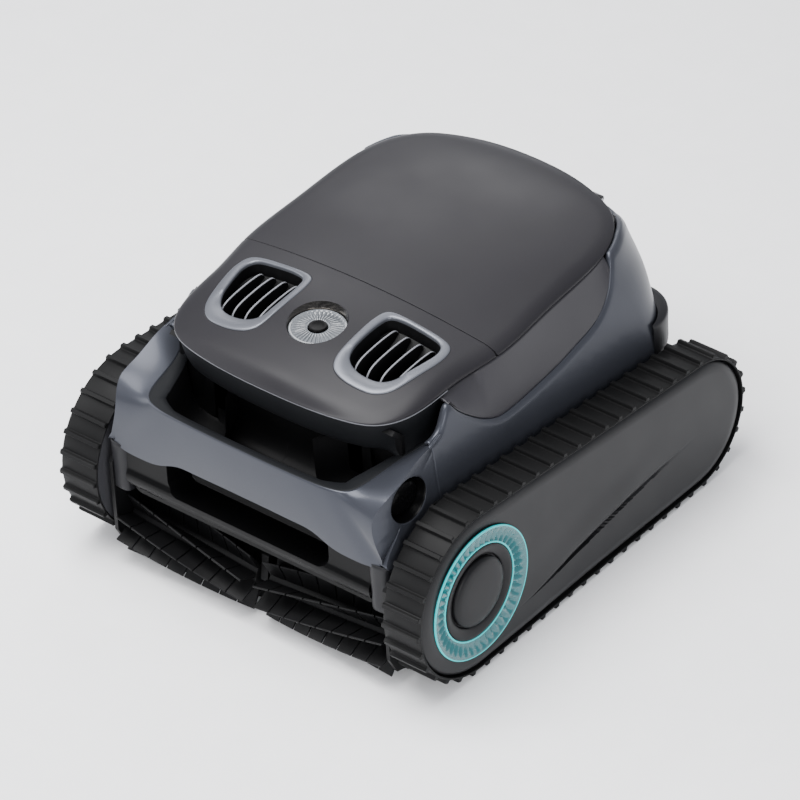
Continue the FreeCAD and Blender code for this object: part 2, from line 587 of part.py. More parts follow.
# ---------------------------------------------------------------- chassis
def chassis_tub(doc, d):
    """Lower tub with the inlet hole, screw holes and the shaft holes in its side walls."""
    body = new_body(doc, "chassis_tub")
    prism(body, "X", polygon(TUB_OUTSIDE), -d.tub_half_width, d.tub_half_width)
    inside = d.tub_half_width - d.tub_wall
    prism(body, "X", polygon(TUB_INSIDE), -inside, inside, cut=True)
    inlet = rectangle(-d.inlet_half_width, d.inlet_half_width, d.inlet_front_y, d.inlet_rear_y)
    prism(body, "Z", inlet, d.tub_floor_z, d.tub_floor_top_z, cut=True)
    holes = [circle(x, y, d.screw_radius + d.screw_play) for x, y in SCREW_PLACES]
    prism(body, "Z", holes, d.tub_floor_z, d.tub_floor_top_z, cut=True)
    heads = [circle(x, y, d.screw_head_radius + d.screw_play) for x, y in SCREW_PLACES]
    prism(body, "Z", heads, d.tub_floor_z, d.tub_floor_z + d.screw_head_height, cut=True)
    shaft = circle(d.front_axle_y, d.front_axle_z, d.axle_radius + d.shaft_hole_play)
    for side in SIDES.values():
        prism(body, "X", shaft, *span(side, inside, d.tub_half_width), cut=True)
    return body


def chassis_screws(doc, d):
    """Screws up through the tub floor, all in one node."""
    tops = []
    for number, (x, y) in enumerate(SCREW_PLACES, start=1):
        head = doc.addObject("Part::Cylinder", f"screw_head_{number}")
        shank = doc.addObject("Part::Cylinder", f"screw_shank_{number}")
        sizes = ((head, d.screw_head_radius, d.screw_head_height, d.tub_floor_z),
                 (shank, d.screw_radius, d.screw_length, d.tub_floor_z + d.screw_head_height))
        for piece, radius, height, low in sizes:
            piece.setExpression("Radius", radius.text)
            piece.setExpression("Height", height.text)
            place(piece, x, y, low)
        tops += [head, shank]
    screws = doc.addObject("Part::MultiFuse", "chassis_screws")
    screws.Shapes = tops
    return screws


def brush_bracket(doc, d):
    """Centre bracket that holds the inner ends of both brush shafts."""
    body = new_body(doc, "brush_bracket")
    prism(body, "X", polygon(BRUSH_BRACKET), -d.bracket_half_width, d.bracket_half_width)
    bore = circle(d.brush_y, d.brush_z, d.brush_shaft_radius + d.running_fit)
    prism(body, "X", bore, -d.bracket_half_width, d.bracket_half_width, cut=True)
    return body


def drive_motor(doc, d, name, side):
    """Gear motor with a bore for the sprocket's shaft."""
    body = new_body(doc, name)
    centre = (d.front_axle_y, d.front_axle_z)
    prism(body, "X", circle(*centre, d.drive_motor_radius),
          *span(side, d.drive_motor_inner_x, d.drive_motor_outer_x))
    bore = circle(*centre, d.axle_radius + d.running_fit)
    prism(body, "X", bore, *span(side, d.shaft_end_x - d.shaft_gap, d.drive_motor_outer_x), cut=True)
    return body


def battery_box(doc, d):
    """Sealed battery on the tub floor."""
    body = new_body(doc, "battery_box")
    plan = rounded_rectangle(-d.battery_half_width, d.battery_half_width, d.battery_front_y,
                             d.battery_rear_y, d.battery_round)
    prism(body, "Z", plan, d.tub_floor_top_z, d.battery_top_z)
    return body


def control_box(doc, d):
    """Sealed electronics over the battery."""
    body = new_body(doc, "control_box")
    plan = rounded_rectangle(-d.control_half_width, d.control_half_width, d.control_front_y,
                             d.control_rear_y, d.battery_round)
    prism(body, "Z", plan, d.battery_top_z, d.control_top_z)
    return body


# ---------------------------------------------------------------- painted body
def shell_side(doc, d, name, side):
    """Painted flank of the body, cut away above for the side panel."""
    body = new_body(doc, name)
    prism(body, "X", polygon(FLANK), *span(side, d.flank_inner_x, d.flank_outer_x))
    return body


def side_panel(doc, d, name, side):
    """Satin panel that fills the flank under the lid's rim."""
    body = new_body(doc, name)
    prism(body, "X", polygon(SIDE_PANEL), *span(side, d.flank_inner_x, d.panel_outer_x))
    return body


def shell_rear(doc, d):
    """Painted rear wall, notched for the lid's hinge ears and stepped down under the lid's corners,
    with the charge socket's hole."""
    body = new_body(doc, "shell_rear")
    prism(body, "X", polygon(REAR_WALL), -d.body_inner_x, d.body_inner_x)
    for side in SIDES.values():
        step = rectangle(*span(side, d.wall_step_x, d.body_inner_x), d.wall_step_z, d.covers_top_z)
        prism(body, "Y", step, d.well_rear_y, d.flange_high_y, cut=True)
    reach = d.hinge_ear_radius + d.hinge_notch_play
    for side in SIDES.values():
        low, high = span(side, d.hinge_ear_inner_x - d.hinge_notch_play,
                         d.hinge_ear_outer_x + d.hinge_notch_play)
        notch = rectangle(low, high, d.hinge_z - reach, d.covers_top_z)
        prism(body, "Y", notch, d.well_rear_y, d.flange_high_y, cut=True)
    hole = circle(d.charge_x, d.charge_z, d.socket_radius + d.socket_play)
    prism(body, "Y", hole, d.socket_front_y, d.flange_high_y, cut=True)
    return body


def front_arm(doc, d, name, side):
    """Arm from the body to the crossbar, with the round sonar recess in its outer face."""
    body = new_body(doc, name)
    prism(body, "X", polygon(FRONT_ARM), *span(side, d.arm_inner_x, d.arm_outer_x))
    recess = circle(d.sonar_y, d.sonar_z, d.sonar_radius)
    prism(body, "X", recess, *span(side, d.sonar_floor_x, d.arm_outer_x), cut=True)
    return body


def sonar_sensors(doc, d):
    """The two round sensor faces, one in each arm."""
    discs = []
    for name, side in SIDES.items():
        disc = new_body(doc, f"sonar_{name}")
        prism(disc, "X", circle(d.sonar_y, d.sonar_z, d.sonar_radius - d.sonar_play),
              *span(side, d.sonar_floor_x, d.sonar_face_x))
        discs.append(disc)
    pair = doc.addObject("Part::MultiFuse", "sonar_sensors")
    pair.Shapes = discs
    return pair


def simple_profile(doc, d, name, outline, half_width):
    """A piece of one profile right across the machine."""
    body = new_body(doc, name)
    prism(body, "X", polygon(outline), -half_width, half_width)
    return body


def front_insert(doc, d):
    """Black panel under the crossbar with the long finger slot."""
    body = new_body(doc, "front_insert")
    panel = rectangle(-d.arm_inner_x, d.arm_inner_x, d.insert_low_z, d.insert_high_z)
    prism(body, "Y", panel, d.insert_front_y, d.insert_back_y)
    middle = (d.slot_low_z + d.slot_high_z) / 2
    radius = (d.slot_high_z - d.slot_low_z) / 2
    end = d.slot_half_width - radius
    slot = hull(-end, middle, radius, end, middle, radius)
    prism(body, "Y", slot, d.insert_front_y, d.insert_back_y, cut=True)
    return body


# ---------------------------------------------------------------- top covers
def arched_cover(doc, d, name, ridge):
    """A curved plate lofted through arched bands that follow a ridge line."""
    body = new_body(doc, name)
    sections = []
    for y, crown in ridge:
        band = arched_band(crown, d.crown_radius, d.cover_half_width, d.cover_thickness)
        sections.append(new_sketch(body, "Y", -plain(y), [band]))
    loft = body.newObject("PartDesign::AdditiveLoft", name + "_skin")
    loft.Profile = sections[0]
    loft.Sections = sections[1:]
    body.Tip = loft
    doc.recompute()
    return body


def trimmed_cover(doc, d, label, ridge, plan, radius, keep):
    """The curved plate trimmed to its rounded outline seen from above."""
    skin = arched_cover(doc, d, label + "_arch", ridge)
    outline = new_body(doc, label + "_outline")
    prism(outline, "Z", polygon(plan), d.covers_floor_z, d.covers_top_z)
    round_edges(outline, "Z", radius, keep)
    return combine(doc, "Part::Common", label + "_plate", outline, [skin])


def nozzle_pose(d, side):
    """How a nozzle leans: down to the front and down to its outer side."""
    roll = FreeCAD.Rotation(Vector(0, 1, 0), side * d.nozzle_roll.value)
    return roll.multiply(FreeCAD.Rotation(Vector(1, 0, 0), d.nozzle_pitch.value))


def place_nozzle(item, d, side):
    place(item, d.nozzle_x * side, d.nozzle_y, d.nozzle_z, nozzle_pose(d, side))


def nozzle_deck(doc, d):
    """Front top cover with the two nozzle holes and the button's hole."""
    corners = lambda middle: middle.y < -150 and abs(middle.x) > 100
    plate = trimmed_cover(doc, d, "deck", DECK_RIDGE, DECK_PLAN, d.deck_front_round, corners)
    tools = []
    for name, side in SIDES.items():
        hole = new_body(doc, f"nozzle_hole_{name}")
        half_width = d.nozzle_half_width + d.nozzle_play
        half_length = d.nozzle_half_length + d.nozzle_play
        outline = rounded_rectangle(-half_width, half_width, -half_length, half_length, d.nozzle_round)
        prism(hole, "Z", outline, -d.nozzle_depth * 2, d.nozzle_depth * 2)
        place_nozzle(hole, d, side)
        tools.append(hole)
    button = new_body(doc, "button_hole")
    prism(button, "Z", circle(0, d.bezel_y, d.bezel_radius + d.bezel_play), d.button_stem_low_z,
          d.covers_top_z)
    return combine(doc, "Part::Cut", "nozzle_deck", plate, tools + [button])


def nozzle_frame(doc, d, name, side):
    """Silver frame round a nozzle's mouth, wider at the front lip."""
    body = new_body(doc, name)
    outline = rounded_rectangle(-d.nozzle_half_width, d.nozzle_half_width, -d.nozzle_half_length,
                                d.nozzle_half_length, d.nozzle_round)
    prism(body, "Z", outline, -d.nozzle_depth, d.nozzle_rise)
    mouth = rounded_rectangle(-d.mouth_half_width, d.mouth_half_width,
                              d.mouth_offset - d.mouth_half_length,
                              d.mouth_offset + d.mouth_half_length, d.mouth_round)
    prism(body, "Z", mouth, -d.nozzle_depth, d.nozzle_rise, cut=True)
    place_nozzle(body, d, side)
    return body


def nozzle_fins(doc, d, name, side):
    """Four fins across the mouth, joined by a web at their rear end."""
    body = new_body(doc, name)
    reach = d.mouth_half_length - d.fin_end_gap
    front, rear = d.mouth_offset - reach, d.mouth_offset + reach
    half = d.fin_thickness / 2
    web = rectangle(-d.web_half_width, d.web_half_width, rear - d.fin_thickness, rear)
    prism(body, "Z", web, -d.nozzle_depth, -d.fin_sink)
    for step in (-1.5, -0.5, 0.5, 1.5):
        fin = rectangle(d.fin_pitch * step - half, d.fin_pitch * step + half, front, rear)
        prism(body, "Z", fin, -d.nozzle_depth, -d.fin_sink)
    place_nozzle(body, d, side)
    return body


def pump_duct(doc, d, name, side):
    """Round duct under a nozzle, with three struts that hold the pump motor."""
    body = new_body(doc, name)
    rings = [circle(0, 0, d.duct_radius), circle(0, 0, d.duct_radius - d.duct_wall)]
    prism(body, "Z", rings, d.duct_low_z, d.duct_high_z)
    half = d.strut_width / 2
    strut = rectangle(d.pump_radius, d.duct_radius - d.duct_wall / 2, -half, half)
    feature = prism(body, "Z", strut, d.duct_low_z, d.duct_low_z + d.strut_height)
    turn_copies(body, feature, "Z", plain(3))
    place(body, x=d.nozzle_x * side, y=d.nozzle_y)
    return body


def pump_motor(doc, d, name, side):
    """Sealed pump motor with a bore for the impeller's shaft."""
    body = new_body(doc, name)
    prism(body, "Z", circle(0, 0, d.pump_radius), d.pump_low_z, d.pump_high_z)
    bore = circle(0, 0, d.pump_shaft_radius + d.running_fit)
    prism(body, "Z", bore, d.pump_bore_z, d.pump_high_z, cut=True)
    place(body, x=d.nozzle_x * side, y=d.nozzle_y)
    return body


def impeller(doc, d, name, side):
    """Impeller: hub, leaning blades as flat plates, and the shaft into the motor."""
    body = new_body(doc, name)
    prism(body, "Z", circle(0, 0, d.impeller_hub_radius), d.impeller_low_z, d.impeller_high_z)
    prism(body, "Z", circle(0, 0, d.pump_shaft_radius), d.pump_shaft_low_z, d.impeller_low_z)
    half = d.impeller_blade / 2
    blade = rectangle(d.impeller_hub_radius - half, d.impeller_radius, -half, half)
    feature = prism(body, "Z", blade, d.impeller_low_z, d.impeller_high_z)
    turn_copies(body, feature, "Z", d.impeller_blades)
    place(body, x=d.nozzle_x * side, y=d.nozzle_y)
    return body


def power_bezel(doc, d):
    """Clear round bezel, level in its recess, with the button's hole."""
    body = new_body(doc, "power_bezel")
    outlines = [circle(0, d.bezel_y, d.bezel_radius),
                circle(0, d.bezel_y, d.button_radius + d.button_play)]
    prism(body, "Z", outlines, d.bezel_low_z, d.bezel_top_z)
    return body


def power_button(doc, d):
    """Push button with its stem."""
    body = new_body(doc, "power_button")
    prism(body, "Z", circle(0, d.bezel_y, d.button_radius), d.button_plate_z, d.button_top_z)
    prism(body, "Z", circle(0, d.bezel_y, d.button_stem_radius), d.button_stem_low_z, d.button_plate_z)
    return body


def filter_lid(doc, d):
    """Rear top cover with two hinge ears under its rear edge."""
    corners = lambda middle: middle.y > 190
    plate = trimmed_cover(doc, d, "lid", LID_RIDGE, LID_PLAN, d.lid_rear_round, corners)
    ears = []
    radius = d.hinge_ear_radius
    for name, side in SIDES.items():
        ear = new_body(doc, f"hinge_ear_{name}")
        limits = span(side, d.hinge_ear_inner_x, d.hinge_ear_outer_x)
        bore = circle(d.hinge_y, d.hinge_z, d.hinge_pin_radius + d.running_fit)
        prism(ear, "X", circle(d.hinge_y, d.hinge_z, radius), *limits)
        neck = rectangle(d.hinge_y - radius, d.hinge_y, d.hinge_z, d.hinge_z + radius + d.hinge_post)
        prism(ear, "X", neck, *limits)
        prism(ear, "X", bore, *limits, cut=True)
        ears.append(ear)
    lid = doc.addObject("Part::MultiFuse", "filter_lid")
    lid.Shapes = [plate] + ears
    return lid


def lid_hinge_pins(doc, d):
    """Steel pins that span the rear wall's two hinge notches."""
    pieces = []
    gap = d.hinge_notch_play
    for name, side in SIDES.items():
        pin = new_body(doc, f"hinge_pin_{name}")
        low, high = d.hinge_ear_inner_x - gap, d.hinge_ear_outer_x + gap
        prism(pin, "X", circle(d.hinge_y, d.hinge_z, d.hinge_pin_radius), *span(side, low, high))
        pieces.append(pin)
    pair = doc.addObject("Part::MultiFuse", "lid_hinge_pins")
    pair.Shapes = pieces
    return pair


# ---------------------------------------------------------------- filter
def box_plan(half_width, front, rear, radius=None):
    """A rectangle seen from above, centred across the machine, with or without rounded corners."""
    if radius is None:
        return rectangle(-half_width, half_width, front, rear)
    return rounded_rectangle(-half_width, half_width, front, rear, radius)


def filter_well(doc, d):
    """Open box that holds the basket, with the inlet duct down to the tub floor."""
    body = new_body(doc, "filter_well")
    wall = d.well_wall
    outside = box_plan(d.well_half_width, d.well_front_y, d.well_rear_y, d.well_round)
    prism(body, "Z", outside, d.well_floor_z, d.well_top_z)
    inside = box_plan(d.well_half_width - wall, d.well_front_y + wall, d.well_rear_y - wall,
                      d.well_round - wall)
    prism(body, "Z", inside, d.well_floor_z + wall, d.well_top_z, cut=True)
    duct = box_plan(d.inlet_half_width + wall, d.inlet_front_y - wall, d.inlet_rear_y + wall)
    prism(body, "Z", duct, d.tub_floor_top_z, d.well_floor_z)
    mouth = box_plan(d.inlet_half_width, d.inlet_front_y, d.inlet_rear_y)
    prism(body, "Z", mouth, d.tub_floor_top_z, d.well_floor_z + wall, cut=True)
    return body


def lid_seal(doc, d):
    """Rubber seal on the rim of the filter well."""
    body = new_body(doc, "lid_seal")
    width = d.seal_width
    outer = box_plan(d.well_half_width, d.well_front_y, d.well_rear_y, d.well_round)
    inner = box_plan(d.well_half_width - width, d.well_front_y + width, d.well_rear_y - width,
                     d.well_round - width)
    prism(body, "Z", [outer, inner], d.well_top_z, d.seal_top_z)
    return body


def basket_frame(doc, d):
    """Basket frame: floor with the inlet hole, four posts, a rim, and the flap's two ears."""
    body = new_body(doc, "basket_frame")
    wall, margin = d.basket_wall, d.window_margin
    plan = box_plan(d.basket_half_width, d.basket_front_y, d.basket_rear_y, d.basket_round)
    prism(body, "Z", plan, d.basket_floor_z, d.basket_top_z)
    inside = box_plan(d.basket_half_width - wall, d.basket_front_y + wall, d.basket_rear_y - wall,
                      d.basket_round - wall)
    prism(body, "Z", inside, d.basket_floor_z + wall, d.basket_top_z, cut=True)
    hole = box_plan(d.inlet_half_width, d.inlet_front_y, d.inlet_rear_y)
    prism(body, "Z", hole, d.basket_floor_z, d.basket_floor_z + wall, cut=True)
    side_window = rectangle(d.basket_front_y + margin, d.basket_rear_y - margin, d.window_low_z,
                            d.window_high_z)
    prism(body, "X", side_window, -d.basket_half_width, d.basket_half_width, cut=True)
    end_half = d.basket_half_width - margin
    end_window = rectangle(-end_half, end_half, d.window_low_z, d.window_high_z)
    prism(body, "Y", end_window, d.basket_front_y, d.basket_rear_y, cut=True)
    ear = rectangle(d.flap_axis_y - d.flap_ear_half, d.flap_axis_y + d.flap_ear_half,
                    d.basket_floor_z + wall, d.flap_ear_top_z)
    bore = circle(d.flap_axis_y, d.flap_axis_z, d.flap_rod_radius + d.running_fit)
    for side in SIDES.values():
        prism(body, "X", [ear, bore], *span(side, d.flap_ear_inner_x, d.flap_rod_half))
    return body


def basket_mesh(doc, d):
    """Four fine mesh panels in the basket's windows."""
    wall, margin, mesh = d.basket_wall, d.window_margin, d.mesh_thickness
    panels = []
    side_window = rectangle(d.basket_front_y + margin, d.basket_rear_y - margin, d.window_low_z,
                            d.window_high_z)
    end_half = d.basket_half_width - margin
    end_window = rectangle(-end_half, end_half, d.window_low_z, d.window_high_z)
    inner = d.basket_half_width - wall
    front, rear = d.basket_front_y + wall, d.basket_rear_y - wall
    jobs = [("X", side_window, -inner - mesh, -inner), ("X", side_window, inner, inner + mesh),
            ("Y", end_window, front - mesh, front), ("Y", end_window, rear, rear + mesh)]
    for number, (axis, outline, low, high) in enumerate(jobs, start=1):
        panel = new_body(doc, f"mesh_panel_{number}")
        prism(panel, axis, outline, low, high)
        panels.append(panel)
    mesh_set = doc.addObject("Part::MultiFuse", "basket_mesh")
    mesh_set.Shapes = panels
    return mesh_set


def basket_handle(doc, d):
    """Flat bar across the basket's rim, to lift it out by."""
    body = new_body(doc, "basket_handle")
    plan = box_plan(d.basket_half_width, d.handle_front_y, d.handle_rear_y)
    prism(body, "Z", plan, d.basket_top_z, d.handle_top_z)
    return body


def inlet_flap(doc, d):
    """Flap over the basket's inlet on a thin rod, so that dirt stays in."""
    body = new_body(doc, "inlet_flap")
    rod = circle(d.flap_axis_y, d.flap_axis_z, d.flap_rod_radius)
    prism(body, "X", rod, -d.flap_rod_half, d.flap_rod_half)
    half = d.flap_thickness / 2
    plate = rectangle(d.flap_front_y, d.flap_axis_y, d.flap_axis_z - half, d.flap_axis_z + half)
    prism(body, "X", plate, -d.flap_half_width, d.flap_half_width)
    return body


# ---------------------------------------------------------------- charging
def charge_socket(doc, d):
    """Socket through the rear wall, with its flange and the cap's two ears."""
    body = new_body(doc, "charge_socket")
    prism(body, "Y", circle(d.charge_x, d.charge_z, d.socket_radius), d.socket_front_y, d.flange_low_y)
    flange = rectangle(d.charge_x - d.flange_half_width, d.charge_x + d.flange_half_width,
                       d.flange_low_z, d.flange_high_z)
    prism(body, "Y", flange, d.flange_low_y, d.flange_high_y)
    half = d.cap_ear_half
    ear = rectangle(d.flange_high_y, d.cap_axis_y + half, d.cap_axis_z - half, d.cap_axis_z + half)
    bore = circle(d.cap_axis_y, d.cap_axis_z, d.cap_rod_radius + d.running_fit)
    for side in SIDES.values():
        low, high = span(side, d.cap_ear_inner, d.cap_rod_half)
        prism(body, "X", [ear, bore], d.charge_x + low, d.charge_x + high)
    contact = circle(d.charge_x, d.charge_z, d.plug_radius)
    prism(body, "Y", contact, d.flange_low_y - d.plug_radius, d.flange_high_y, cut=True)
    return body


def charge_cap(doc, d):
    """Cap over the charge socket, on a rod at its top edge."""
    body = new_body(doc, "charge_cap")
    low = d.flange_high_y + d.cap_gap
    high = low + d.cap_thickness
    prism(body, "Y", circle(d.charge_x, d.charge_z, d.cap_radius), low, high)
    tab = rectangle(d.charge_x - d.cap_half_width, d.charge_x + d.cap_half_width, d.charge_z, d.cap_axis_z)
    prism(body, "Y", tab, low, high)
    rod = circle(d.cap_axis_y, d.cap_axis_z, d.cap_rod_radius)
    prism(body, "X", rod, d.charge_x - d.cap_rod_half, d.charge_x + d.cap_rod_half)
    return body


# ---------------------------------------------------------------- assembly
PAIRED = [track_belt, track_cover, light_ring, hub_cap, side_frame, drive_sprocket, drive_gear,
          idler_wheel, brush_roller, drive_motor, shell_side, side_panel, front_arm, nozzle_frame,
          nozzle_fins, pump_duct, pump_motor, impeller]
SINGLE = [chassis_tub, chassis_screws, brush_bracket, battery_box, control_box, shell_rear,
          sonar_sensors, front_insert, nozzle_deck, power_bezel, power_button, filter_lid,
          lid_hinge_pins, filter_well, lid_seal, basket_frame, basket_mesh, basket_handle,
          inlet_flap, charge_socket, charge_cap]


def build(doc):
    """Makes every sub-part and returns them all."""
    d = Sheet(doc, SIZES)
    profiles = [("front_crossbar", CROSSBAR, d.arm_inner_x), ("hand_well", HAND_WELL, d.arm_inner_x),
                ("rear_grip", REAR_GRIP, d.body_inner_x)]
    pieces = [make(doc, d) for make in SINGLE]
    pieces += [simple_profile(doc, d, *profile) for profile in profiles]
    for make in PAIRED:
        pieces += [make(doc, d, f"{make.__name__}_{name}", side) for name, side in SIDES.items()]
    return pieces


def check(doc, pieces):
    """Stops if anything failed to build."""
    for item in doc.Objects:
        if "Invalid" in item.State or "Error" in item.State:
            raise RuntimeError(f"{item.Label} is in a failed state: {item.State}")
    for piece in pieces:
        if piece.Shape.isNull() or not piece.Shape.isValid():
            raise RuntimeError(f"{piece.Label} has no valid shape")


def main():
    doc = FreeCAD.newDocument("pool_cleaner")
    pieces = build(doc)
    doc.recompute()
    check(doc, pieces)
    os.makedirs("parts", exist_ok=True)
    for piece in pieces:
        piece.Shape.exportStep(os.path.join("parts", piece.Label + ".step"))
        box = piece.Shape.optimalBoundingBox()
        print(f"{piece.Label:22s} {len(piece.Shape.Solids)} solids  {piece.Shape.Volume / 1000:9.1f} cm3  "
              f"x {box.XMin:7.1f} {box.XMax:7.1f}  y {box.YMin:7.1f} {box.YMax:7.1f}  "
              f"z {box.ZMin:6.1f} {box.ZMax:6.1f}")


main()
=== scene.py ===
# A cordless tracked pool cleaner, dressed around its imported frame. Metres, with sizes written in millimetres.
import math
import bmesh
import bpy
import numpy as np
from mathutils import Matrix, Vector


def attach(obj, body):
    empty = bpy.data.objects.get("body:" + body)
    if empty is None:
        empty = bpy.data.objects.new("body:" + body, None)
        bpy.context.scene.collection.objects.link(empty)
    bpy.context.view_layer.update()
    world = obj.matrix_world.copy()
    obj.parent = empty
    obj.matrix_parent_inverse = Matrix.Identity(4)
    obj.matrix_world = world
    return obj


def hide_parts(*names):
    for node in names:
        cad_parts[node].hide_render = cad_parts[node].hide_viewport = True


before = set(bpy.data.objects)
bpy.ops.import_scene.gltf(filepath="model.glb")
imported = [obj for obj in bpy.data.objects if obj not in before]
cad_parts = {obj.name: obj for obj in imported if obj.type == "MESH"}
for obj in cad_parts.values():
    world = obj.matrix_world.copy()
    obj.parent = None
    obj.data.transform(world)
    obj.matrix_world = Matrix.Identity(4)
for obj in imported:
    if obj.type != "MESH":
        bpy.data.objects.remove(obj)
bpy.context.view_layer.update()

# ---------------------------------------------------------------- studio
# A pale seamless floor lies under one large overhead softbox. Four dimmer panels stand behind, left,
# right and in front, and an even pale sky fills the shadows.
# The camera looks down on the front right corner from well back, through a long lens.
AZIMUTH, ELEVATION, ROLL = np.radians((41.5, 37.3, -3.6))
CAMERA_DISTANCE, LENS, LOOK_AT = 6461.0, 321.6, np.array((38.9, -47.6, 162.7))


def look_axes(azimuth, elevation, roll):
    """Right, up and backward axes of a camera that stands at an azimuth from the front and an elevation."""
    back = np.array((math.sin(azimuth) * math.cos(elevation),
                     -math.cos(azimuth) * math.cos(elevation), math.sin(elevation)))
    right = np.array((math.cos(azimuth), math.sin(azimuth), 0.0))
    up = np.cross(back, right)
    turned_right = right * math.cos(roll) + up * math.sin(roll)
    turned_up = up * math.cos(roll) - right * math.sin(roll)
    return turned_right, turned_up, back


right, up, back = look_axes(AZIMUTH, ELEVATION, ROLL)
camera_data = bpy.data.cameras.new("camera")
camera_data.lens, camera_data.sensor_width = LENS, 36.0
camera_data.clip_end = 50.0
camera = bpy.data.objects.new("camera", camera_data)
place = Matrix(np.column_stack((right, up, back)).tolist()).to_4x4()
place.translation = Vector((LOOK_AT + back * CAMERA_DISTANCE) / 1000)
camera.matrix_world = place
bpy.context.collection.objects.link(camera)
bpy.context.scene.camera = camera

# softboxes: name, place in mm, width and height in mm, watts
SOFTBOXES = (("overhead", (-250, -350, 1900), 1500, 1300, 84.0),
             ("back_panel", (-1000, 1300, 1300), 900, 700, 9.0),
             ("left_panel", (-1700, -900, 900), 1100, 900, 18.0),
             ("right_panel", (1200, -800, 560), 600, 700, 9.0),
             ("front_panel", (300, -1900, 500), 900, 500, 10.0))
for name, spot, width, height, watts in SOFTBOXES:
    light = bpy.data.lights.new(name, "AREA")
    light.shape, light.size, light.size_y, light.energy = "RECTANGLE", width / 1000, height / 1000, watts
    softbox = bpy.data.objects.new(name, light)
    spot = Vector(spot) / 1000
    softbox.matrix_world = (spot - Vector((0, 0, 0.15))).to_track_quat("Z", "Y").to_matrix().to_4x4()
    softbox.matrix_world.translation = spot
    bpy.context.collection.objects.link(softbox)

world = bpy.data.worlds.new("studio")
world.use_nodes = True
world.node_tree.nodes["Background"].inputs["Color"].default_value = (0.92, 0.94, 1.0, 1.0)
world.node_tree.nodes["Background"].inputs["Strength"].default_value = 0.86
bpy.context.scene.world = world


def linear(colour):
    """An sRGB hex colour as linear RGBA: each channel undone from the sRGB curve."""
    channels = np.array([int(colour[i:i + 2], 16) for i in (1, 3, 5)]) / 255
    values = np.where(channels <= 0.04045, channels / 12.92, ((channels + 0.055) / 1.055) ** 2.4)
    return (*map(float, values), 1.0)


def add(tree, kind, links=None, **settings):
    """Adds a node; settings are its own values or its inputs' values, links go from sockets to its inputs."""
    item = tree.nodes.new(kind)
    for name, value in settings.items():
        if name in item.inputs:
            item.inputs[name].default_value = value
        elif hasattr(item, name):
            setattr(item, name, value)
        else:
            item.inputs[name.replace("_", " ")].default_value = value
    for name, socket in (links or {}).items():
        tree.links.new(socket, item.inputs[name])
    return item


def finish(name, dark, light, grain_mm, bump_mm, roughness, spread=0.06, **shader):
    """A moulded or painted finish: two close tones mottled by noise of one real grain size, the same noise
    in fine relief, and a slower noise that varies the roughness. Uniform shader values are set directly;
    a low specular level, unless one is given, keeps dark plastics dark under the overhead softbox."""
    material = bpy.data.materials.new(name)
    material.use_nodes = True
    tree = material.node_tree
    tree.nodes.clear()
    surface = add(tree, "ShaderNodeBsdfPrincipled", **{"Specular_IOR_Level": 0.15, **shader})
    where = add(tree, "ShaderNodeTexCoord").outputs["Object"]
    grain = add(tree, "ShaderNodeTexNoise", {"Vector": where}, Scale=1000 / grain_mm, Detail=4.0,
                Roughness=0.6)
    patches = add(tree, "ShaderNodeTexNoise", {"Vector": where}, Scale=1000 / 60, Detail=2.0)
    tone = add(tree, "ShaderNodeMix", data_type="RGBA", blend_type="MIX")
    blend = add(tree, "ShaderNodeMapRange", {"Value": grain.outputs["Fac"]}, From_Min=0.3, From_Max=0.7)
    tree.links.new(blend.outputs["Result"], tone.inputs["Factor"])
    tone.inputs[6].default_value, tone.inputs[7].default_value = linear(dark), linear(light)
    tree.links.new(tone.outputs[2], surface.inputs["Base Color"])
    rough = add(tree, "ShaderNodeMapRange", {"Value": patches.outputs["Fac"]}, From_Min=0.25,
                From_Max=0.75, To_Min=roughness - spread, To_Max=roughness + spread)
    tree.links.new(rough.outputs["Result"], surface.inputs["Roughness"])
    relief = add(tree, "ShaderNodeBump", {"Height": grain.outputs["Fac"]}, Strength=0.35,
                 Distance=bump_mm / 1000)
    tree.links.new(relief.outputs["Normal"], surface.inputs["Normal"])
    result = add(tree, "ShaderNodeOutputMaterial", {"Surface": surface.outputs["BSDF"]})
    result.name = "result"
    return material


def lattice(rows, columns, wrap_rows=False, wrap_columns=False):
    """Quads between neighbouring points of a grid whose rows lie one after the other."""
    index = np.arange(rows * columns).reshape(rows, columns)
    if wrap_rows:
        index = np.vstack((index, index[:1]))
    if wrap_columns:
        index = np.hstack((index, index[:, :1]))
    corners = (index[:-1, :-1], index[:-1, 1:], index[1:, 1:], index[1:, :-1])
    return np.stack([c.ravel() for c in corners], axis=1)


